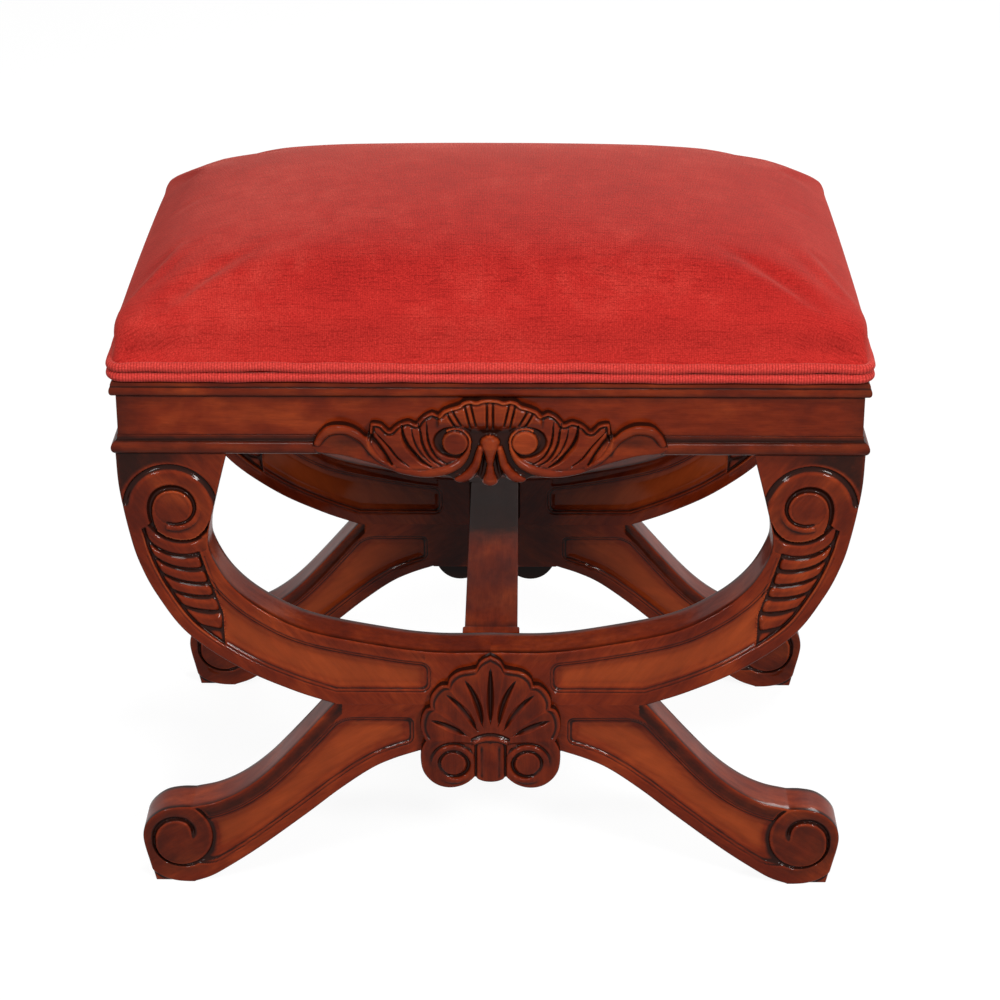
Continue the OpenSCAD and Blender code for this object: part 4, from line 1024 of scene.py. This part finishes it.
def crest_relief(x, z, edge):
    """Height of the crest off the rail's face."""
    side = np.abs(x)
    points = np.stack([side, z], -1)
    r, a = polar(points, crest_eye)
    height = crest_ground + sum(leaf_cut(points, *cut) for cut in CREST_CUTS)
    # The outer lobe has a thick rolled rim over a shallow hollow
    rim = ridge(points, *RIM_RIDGE)
    height = height - 2.4 * bell(side, 106, 15) * bell(z, 379, 7) + rim * (height > 3)
    # The shell stands over the scrolls
    fan = ramp(39, 36.5, side) * ramp(389, 391.5, z) * ramp(crest_eye_r + 1.2, crest_eye_r + 3, r)
    height = height + fan * (crest_shell(points, z) - height)
    # Under the scrolls the wood is cut back round the drop and its two side lobes
    cut_back = ramp(0.5, -0.5, side - np.interp(z, *SWEEP_SIDE)) * ramp(395, 386.5, z)
    height = height + (cut_back_h - height) * cut_back
    lobe = ridge(points, *SIDE_LOBE)
    scoop = bell(side, 25, 6) * bell(z, 355.2, 2.6)
    height = np.where(lobe > 0, np.maximum(height, lobe_foot + lobe), height) + 1.6 * scoop * (lobe <= 0)
    drop = half_round(side, np.interp(z, *DROP_WIDTH))
    on_drop = (drop > 0) & (z < drop_top)
    height = np.where(on_drop, np.maximum(height, drop_foot + drop * np.interp(z, *DROP_RISE)), height)
    height = height - 3.0 * np.clip(1 - nearest(points, drop_slit)[0] / 1.5, 0, 1) * (z < 371)
    # The scroll: a flush eye, a cove round its outer side, and a band that sweeps down and out
    cove_r = crest_eye_r + 3.2 + 4.4 * bell(a, 0, 48)
    cove = (r > crest_eye_r) * (r < cove_r) * ((a > -150) & (a < 105))
    depth = np.sin(np.pi * np.clip((r - crest_eye_r) / (cove_r - crest_eye_r), 0, 1)) ** 0.6
    height = np.where(cove, np.minimum(height, 6.4 - 3.4 * depth), height)
    sweep = ridge(points, *SWEEP_RIDGE)
    height = np.where(sweep > 0, np.maximum(height, sweep_foot + sweep), height)
    ring = half_round(r - crest_eye_r - 1.1, 1.1)
    height = np.where((ring > 0) & ((a > 55) | (a < -165)), np.maximum(height, 5.6 + 1.82 * ring), height)
    height = np.where(r < crest_eye_r, eye_foot + 0.7 * half_round(r, crest_eye_r), height)
    height = height - 1.6 * bell(r, crest_eye_r, 0.7)
    # A rolled rim follows the scalloped top, with a dark line inside it
    top_gap = nearest(points, top_line)[0]
    height = height + (1.2 * bell(top_gap, 1.7, 0.7) - 1.3 * bell(top_gap, 3.6, 0.9)) * (side < 88)
    return np.maximum(height - arris(edge, crest_edge_r), 1.0)


crest_x = np.linspace(-crest_half_w, crest_half_w, 421)
top_line = smooth_line(CREST_TOP, 4)
low_line = smooth_line(CREST_LOW, 4)
for line in (top_line, low_line):
    line[:, 0] = np.maximum.accumulate(line[:, 0])
top_z = np.interp(np.abs(crest_x), *top_line.T)
low_z = np.interp(np.abs(crest_x), *low_line.T)
shares = np.concatenate([[0, 0.008, 0.02, 0.035], np.linspace(0.05, 0.95, 76), [0.965, 0.98, 0.992, 1]])
grid_z = low_z[:, None] + (top_z - low_z)[:, None] * shares[None, :]
grid_x = np.repeat(crest_x[:, None], len(shares), 1)
outline = np.vstack([top_line, low_line[::-1]])
edge = nearest(np.stack([np.abs(grid_x), grid_z], -1), outline)[0]
raised = crest_relief(grid_x, grid_z, edge)
# Glaze and painted shade in the hollows, painted shade the deeper the surface lies and along its edges, and
# painted light on its high parts
shade = hollow_glaze_and_shade(-raised, 3, 8, 0.8) + 0.13 * (6.6 - raised) + 0.3 * np.exp(-edge / 2)
front = np.stack([grid_x, -raised, grid_z], -1)
upper = np.stack([front[:, -1] * [1, t, 1] for t in (0.6, 0.3)], 1)
lower = np.stack([front[:, 0] * [1, t, 1] for t in (0.3, 0.6)], 1)
back = front[:, ::-1][:, ::4] * [1, 0, 1]
rings = np.concatenate([front, upper, back, lower], 1)
unseen = np.zeros((len(rings), back.shape[1] + lower.shape[1]))
# Painted shade on the upper wall
shades = np.concatenate([shade, np.full(upper.shape[:2], 0.7), unseen], 1)
crest = skin("crest_front_carved", rings, recess=shades, grain=wood_grain(rings, (1, 0, 0), 31))
on_front_and_back(crest, "crest", 4)


# Glue blocks, seat board, screws and dust cover. Sawn softwood blocks stiffen the rail
# corners, steel screws go up through them into a plywood board, and black cambric is
# tacked under it.
def cambric_cloth():
    """Thin black cambric with a plain weave."""
    material, tree, shader = new_material("cambric", {"Roughness": 0.9})
    place = add(tree, "TexCoord").outputs["Object"]
    warp, weft = (add(tree, "TexWave", {"Vector": place, "Scale": 260.0}, bands_direction=way).outputs["Fac"]
                  for way in "XY")
    weave = times(tree, warp, weft)
    tone = mixed(tree, noise(tree, place, 25.0), (0.012, 0.012, 0.013), (0.03, 0.028, 0.027))
    tone = mixed(tree, times(tree, weave, 0.5), tone, (0.045, 0.043, 0.042))
    tree.links.new(tone, shader.inputs["Base Color"])
    bumped(tree, shader, weave, 0.4, 0.0003)
    return material


def screw_steel():
    """Zinc-plated steel with fine turned marks."""
    material, tree, shader = new_material("screw_steel", {"Metallic": 1.0, "Roughness": 0.34})
    place = add(tree, "TexCoord").outputs["Object"]
    marks = noise(tree, place, 900.0, 3.0, 0.6, (1, 1, 3))
    tree.links.new(mixed(tree, marks, (0.42, 0.41, 0.38), (0.62, 0.61, 0.58)), shader.inputs["Base Color"])
    bumped(tree, shader, marks, 0.15, 0.0002)
    return material


finish_node("corner_blocks", plain_timber("pine", (0.55, 0.36, 0.17), (0.38, 0.21, 0.085), 30.0))
finish_node("seat_board", plain_timber("plywood", (0.50, 0.34, 0.20), (0.33, 0.20, 0.11), 12.0))
finish_node("dust_cover", cambric_cloth())
finish_node("seat_screws", screw_steel())


# Double piping. Two rows of velvet-covered cord are sewn round the foot of the cushion.
# The velvet's ribs cross the cord as fine ticks, and the rows wander a little.
welt_r = 3.8
seat_foot_a = half_w + 3.6
seat_foot_b = half_d + 4.2
seat_foot_r = 11.0
cord_step = 2.2


def round_rectangle(a, b, r, step):
    """Points, outward directions and distances round a rectangle with round corners."""
    corners = [(a - r, b - r), (r - a, b - r), (r - a, r - b), (a - r, r - b)]
    points, ways = [], []
    for q in range(4):
        turn = np.radians(90 * q + np.linspace(0, 90, int(r * 1.5 / step) + 2))
        way = np.stack([np.cos(turn), np.sin(turn)], 1)
        arc = np.array(corners[q]) + r * way
        side = np.array(corners[(q + 1) % 4]) - corners[q]
        count = int(np.linalg.norm(side) / step)
        share = np.linspace(0, 1, count + 1)[1:-1, None]
        points += [arc, arc[-1] + side * share]
        ways += [way, np.repeat(way[-1:], count - 1, 0)]
    points, ways = np.vstack(points), np.vstack(ways)
    step_l = np.linalg.norm(np.diff(points, axis=0, append=points[:1]), axis=1)
    return points, ways, np.concatenate([[0], np.cumsum(step_l)[:-1]])


def velvet(name, ticks):
    """Red ribbed velvet: a brushed, mottled nap over fine ribs, with a painted sheen lower down."""
    material, tree, shader = new_material(name, {
        "Roughness": 0.95, "Specular IOR Level": 0.15, "Sheen Weight": 0.24,
        "Sheen Roughness": 0.42, "Sheen Tint": (1.0, 0.4, 0.31)})
    weave = add(tree, "Attribute", attribute_name="weave").outputs["Vector"]
    place = add(tree, "TexCoord").outputs["Object"]
    # The nap, with a painted sheen that lightens the cloth lower down, where it is drawn down over the sides
    broad = noise(tree, place, 8.0, 2.0, 0.5, (1, 1, 1), 0.3)
    brushed = noise(tree, weave, 30.0, 7.0, 0.72, (1.3, 1.1, 1), 0.2)
    nap = plus(tree, times(tree, broad, 0.45), times(tree, brushed, 0.55))
    tone = stops(tree, nap, (0.34, (0.325, 0.008, 0.007)), (0.5, (0.385, 0.0125, 0.0095)),
                 (0.66, (0.455, 0.028, 0.020)))
    height_up = add(tree, "SeparateXYZ", {"Vector": place}).outputs["Z"]
    # Painted sheen: lighter lower down the sides
    painted_sheen = ranged(tree, height_up, 0.505, 0.455, 0.0, 0.4)
    tone = mixed(tree, painted_sheen, tone, (0.60, 0.030, 0.022))
    if ticks:
        tone = mixed(tree, 0.4, tone, (0.6, 0.06, 0.048))
    speck = noise(tree, weave, 520.0, 3.0, 0.75, (1.0, 1.6, 1))
    tone = toned(tree, 0.75, tone, speck, 0.36, (0.6, 0.42, 0.42), 0.64, (1.3, 1.9, 1.9))
    # The ribs, which wander a little, and the dashes of worn rows between them
    wander = times(tree, noise(tree, weave, 90.0, 2.0), 0.0006)
    along = plus(tree, add(tree, "SeparateXYZ", {"Vector": weave}).outputs["X"], wander)
    pitch = 0.0021 if ticks else 0.0013
    rib = ranged(tree, maths(tree, "SINE", times(tree, along, 2 * math.pi / pitch)), -1.0, 1.0)
    tone = toned(tree, 0.85 if ticks else 0.35, tone, rib, 0.0, (0.6, 0.4, 0.4), 0.5, (1.12, 1.15, 1.15))
    if not ticks:
        dashes = noise(tree, weave, 600.0, 2.0, 0.5, (0.07, 1.0, 1))
        tone = toned(tree, 0.42, tone, dashes, 0.36, (0.55, 0.35, 0.35), 0.46, (1.04, 1.04, 1.04))
    tree.links.new(tone, shader.inputs["Base Color"])
    bumped(tree, shader, plus(tree, times(tree, rib, 0.6), times(tree, speck, 0.6)), 0.45, 0.0006)
    return material


piping_velvet = velvet("piping", True)
path, ways, at = round_rectangle(seat_foot_a, seat_foot_b, seat_foot_r, cord_step)
phase = 2 * math.pi * at / (at[-1] + np.linalg.norm(path[0] - path[-1]))
around = np.radians(np.linspace(0, 360, 17)[:-1])
# Each row wanders up and down, and its thickness varies a little
for row, node in enumerate(("welt_lower", "welt_upper")):
    sag = 0.35 * np.sin(9 * phase + 1.3 * row) + 0.3 * np.sin(23 * phase + 2 * row) + 0.2 * np.sin(41 * phase)
    swell = 0.95 + 0.05 * np.sin(17 * phase + row) + 0.03 * np.sin(53 * phase)
    r = welt_r * swell[:, None]
    out = (r * np.cos(around))[..., None] * ways[:, None, :] + path[:, None, :]
    z = seat_z + welt_r * (1 + 2 * row) + sag[:, None] * (0.4 + 0.6 * row) + r * np.sin(around)
    rings = np.concatenate([out, z[..., None]], -1)
    weave = np.stack(np.broadcast_arrays(at[:, None], around * welt_r, row * 50.0), -1) * MM
    closed = [np.concatenate([loop, loop[:1]], 0) for loop in (rings, weave)]
    stand(skin(node + "_cord", closed[0], weave=closed[1]), node, piping_velvet)


# Cushion. Hair and wadding are crowned over the board under a cover of ribbed red velvet.
# The cover is drawn down over the sides and pulled in above the piping, so that the pad
# swells between its corners.
belly_a = half_w + 8.5
belly_b = half_d + 7.0
foot_z = seat_z + 4 * welt_r
belly_z = foot_z + 20.0
crown_top_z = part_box("seat_cover")[1].z / MM
crown_power = 2.35
crown_over = 1.5
belly_corner_r = 26.0
side_pull = 0.5
# Rings at the foot: height over it, distance inside the belly, and corner radius
FOOT_RINGS = [(-13, 5, 10), (-4, 5, 10), (0, 4, 12), (4, 1.5, 16)]
# Sizes of the crown's rings, as shares of the belly's
CROWN_RINGS = [1, 0.993, 0.98, 0.96, 0.93, 0.89, 0.84, 0.77, 0.69, 0.6, 0.5, 0.4, 0.3, 0.2, 0.1, 0.03]
# The pad is made this much smaller, and the wadding then fills it out by up to a cap
shrink = 3.5
wadding_cap = 5.0
pad_cell = 5.0
# After filling, the crown's middle stands higher, and its sides and corners fall away
crown_rise = 4.5
side_fall = 2.0
end_fall = 12.0
corner_fall = 7.0
# How far below the crown the cloth starts to run down the sides
drop_start = 22.0


def cushion_ring(a, b, r, z, pull=0.0, count=220):
    """Evenly spaced points round the cushion, drawn in along the middle of each side."""
    points, ways, _ = round_rectangle(a, b, r, max(a, b) / 60)
    u = np.clip(np.abs(points[:, 0]) / max(a - r, 1), 0, 1)
    v = np.clip(np.abs(points[:, 1]) / max(b - r, 1), 0, 1)
    facing_x, facing_y = (np.abs(ways) > 0.999).T
    fall = np.where(facing_y, 1 - u ** 2, np.where(facing_x, 1 - v ** 2, 0))
    points = points - ways * (pull * fall)[:, None]
    even = spaced(np.vstack([points, points[:1]]), count + 1)[:-1]
    return np.concatenate([even, np.full((count, 1), z)], 1)


def cushion_shape():
    """Rings of the cushion from its foot to its crown, a little smaller before it is filled."""
    rings = []
    for up, inset, r in FOOT_RINGS:
        inset = inset + shrink * (up > 0)
        rings.append(cushion_ring(belly_a - inset, belly_b - inset, r, foot_z + up))
    rise = crown_top_z + crown_over - belly_z - shrink
    for s in CROWN_RINGS:
        a, b = (belly_a - shrink + 1) * s, (belly_b - shrink) * s
        r = belly_corner_r * s + (b - belly_corner_r * s) * min(1.6 * (1 - s), 0.95)
        z = belly_z + rise * (1 - s ** crown_power) ** (1 / crown_power)
        rings.append(cushion_ring(a, b, r, z, side_pull * s * s))
    return np.stack(rings)


def fill_with_wadding(pad):
    """Blows the pad up like a filled cover, and keeps it within a cap of where it was."""
    for other in bpy.context.selected_objects:
        other.select_set(False)
    pad.select_set(True)
    remesh = pad.modifiers.new("even", "REMESH")
    remesh.mode = "VOXEL"
    remesh.voxel_size = pad_cell * MM
    bpy.ops.object.modifier_apply(modifier=remesh.name)
    start = read_points(pad.data)
    darkness = pad.vertex_groups.new(name="darkness")
    darkness.add(np.flatnonzero(start[:, 2] < (foot_z - 2) * MM).tolist(), 1.0, "REPLACE")
    cloth = pad.modifiers.new("cloth", "CLOTH")
    cloth.settings.use_pressure = True
    cloth.settings.uniform_pressure_force = 4.0
    cloth.settings.effector_weights.gravity = 0
    cloth.settings.vertex_group_mass = "darkness"
    cloth.settings.tension_stiffness = 25
    cloth.settings.bending_stiffness = 2.0
    for step in range(1, 21):
        bpy.context.scene.frame_set(step)
    moved = read_points(pad.evaluated_get(bpy.context.evaluated_depsgraph_get()).data)
    pad.modifiers.remove(cloth)
    bpy.context.scene.frame_set(1)
    shift = moved - start
    size = np.linalg.norm(shift, axis=1, keepdims=True)
    eased_size = wadding_cap * MM * np.tanh(size / (wadding_cap * MM))
    pad.data.vertices.foreach_set("co", (start + shift / np.maximum(size, 1e-9) * eased_size).ravel())
    pad.data.update()


cushion = skin("seat_cushion", cushion_shape())
bpy.context.view_layer.objects.active = cushion
fill_with_wadding(cushion)
for face in cushion.data.polygons:
    face.use_smooth = True
smoothed = cushion.modifiers.new("smooth", "SUBSURF")
smoothed.levels = 1
smoothed.render_levels = 1
bpy.ops.object.modifier_apply(modifier=smoothed.name)

co = read_points(cushion.data) / MM
to_side, to_end = np.abs(co[:, 0]) / belly_a, np.abs(co[:, 1]) / belly_b
fall = (corner_fall * to_side ** 3 + end_fall * to_side ** 2) * to_end ** 2
from_foot = ramp(foot_z + 5, crown_top_z - 4, co[:, 2])
co[:, 2] += from_foot * (crown_rise - side_fall * to_side ** 2 - fall)
cushion.data.vertices.foreach_set("co", (co * MM).ravel())
# The cloth's own coordinates: flat on top, and running down each side with the drop
drop = np.maximum(crown_top_z - co[:, 2] - drop_start, 0)
lean = np.stack([ramp(0.75, 1.0, to_side), ramp(0.7, 1.0, to_end)], 1)
share = lean / np.maximum(lean.sum(1), 1)[:, None]
flat = co[:, :2] + np.sign(co[:, :2]) * drop[:, None] * share
weave = np.concatenate([flat, np.zeros((len(co), 1))], 1) * MM
layer = cushion.data.attributes.new("weave", "FLOAT_VECTOR", "POINT")
layer.data.foreach_set("vector", weave.ravel())
cushion.data.materials.append(velvet("velvet", False))
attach(cushion, "root")
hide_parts("seat_cover", "seat_pad")


# Studio. A white floor and backdrop, with soft lamps in front, above and behind. The camera
# looks down at the stool from in front.
def seen_as_white(tree):
    """1 for the rays that show the backdrop: the camera's own, reflected and refracted ones."""
    rays = add(tree, "LightPath").outputs
    direct = maths(tree, "MAXIMUM", rays["Is Camera Ray"], rays["Is Glossy Ray"])
    return maths(tree, "MAXIMUM", direct, rays["Is Transmission Ray"])


floor_glow = 0.91
material, tree, shader = new_material("floor", {
    "Base Color": (0.14, 0.14, 0.14), "Roughness": 0.9, "Specular IOR Level": 0.0})
glow = add(tree, "Emission", {"Color": (1, 1, 1), "Strength": floor_glow})
both = add(tree, "AddShader", {0: shader.outputs[0], 1: glow.outputs[0]})
pick = add(tree, "MixShader", {0: seen_as_white(tree), 1: shader.outputs[0], 2: both.outputs[0]})
tree.links.new(pick.outputs[0], tree.nodes["Material Output"].inputs["Surface"])
bm = bmesh.new()
bmesh.ops.create_grid(bm, x_segments=1, y_segments=1, size=12)
floor_mesh = bpy.data.meshes.new("floor")
bm.to_mesh(floor_mesh)
bm.free()
floor_mesh.materials.append(material)
put_in_scene("floor", floor_mesh)

world = bpy.data.worlds.new("studio")
bpy.context.scene.world = world
world.use_nodes = True
tree = world.node_tree
sky = tree.nodes["Background"]
way = add(tree, "SeparateXYZ", {"Vector": add(tree, "TexCoord").outputs["Generated"]}).outputs
bright = plus(tree, times(tree, way["Z"], 0.75), times(tree, way["Y"], 0.35))
level = maths(tree, "ADD", bright, 0.45, clamp=True)
lighting = mixed(tree, level, (0.05, 0.05, 0.05), (0.4, 0.4, 0.4))
tree.links.new(mixed(tree, seen_as_white(tree), lighting, (1.0, 1.0, 1.0)), sky.inputs["Color"])
sky.inputs["Strength"].default_value = 1.0


def softbox(name, place, aim, size_x, size_y, power):
    lamp = bpy.data.lights.new(name, "AREA")
    lamp.shape = "RECTANGLE"
    lamp.size = size_x
    lamp.size_y = size_y
    lamp.energy = power
    box = put_in_scene(name, lamp)
    box.rotation_euler = (Vector(aim) - Vector(place)).to_track_quat("-Z", "Y").to_euler()
    box.location = place


softbox("left", (-1.5, -2.2, 1.75), (0, 0, 0.25), 0.6, 0.36, 30)
softbox("right", (1.5, -2.2, 1.75), (0, 0, 0.25), 0.6, 0.36, 54)
softbox("top", (0.0, -1.3, 2.5), (0, 0, 0.4), 0.9, 0.3, 16)
softbox("behind", (1.5, 2.0, 1.7), (0, 0, 0.3), 1.0, 0.6, 30)

# The camera's lens, place, pitch and turn were fitted to the frames in the photograph
camera_pitch = 0.418879
camera_turn = 0.008511
camera_data = bpy.data.cameras.new("camera")
camera_data.sensor_fit = "HORIZONTAL"
camera_data.sensor_width = 36
camera_data.lens = 100.12
camera = put_in_scene("camera", camera_data)
camera.location = (0.02339, -2.07561, 1.17399)
camera.rotation_euler = (math.pi / 2 - camera_pitch, 0, camera_turn)
bpy.context.scene.camera = camera
bpy.context.scene.view_settings.view_transform = "Standard"
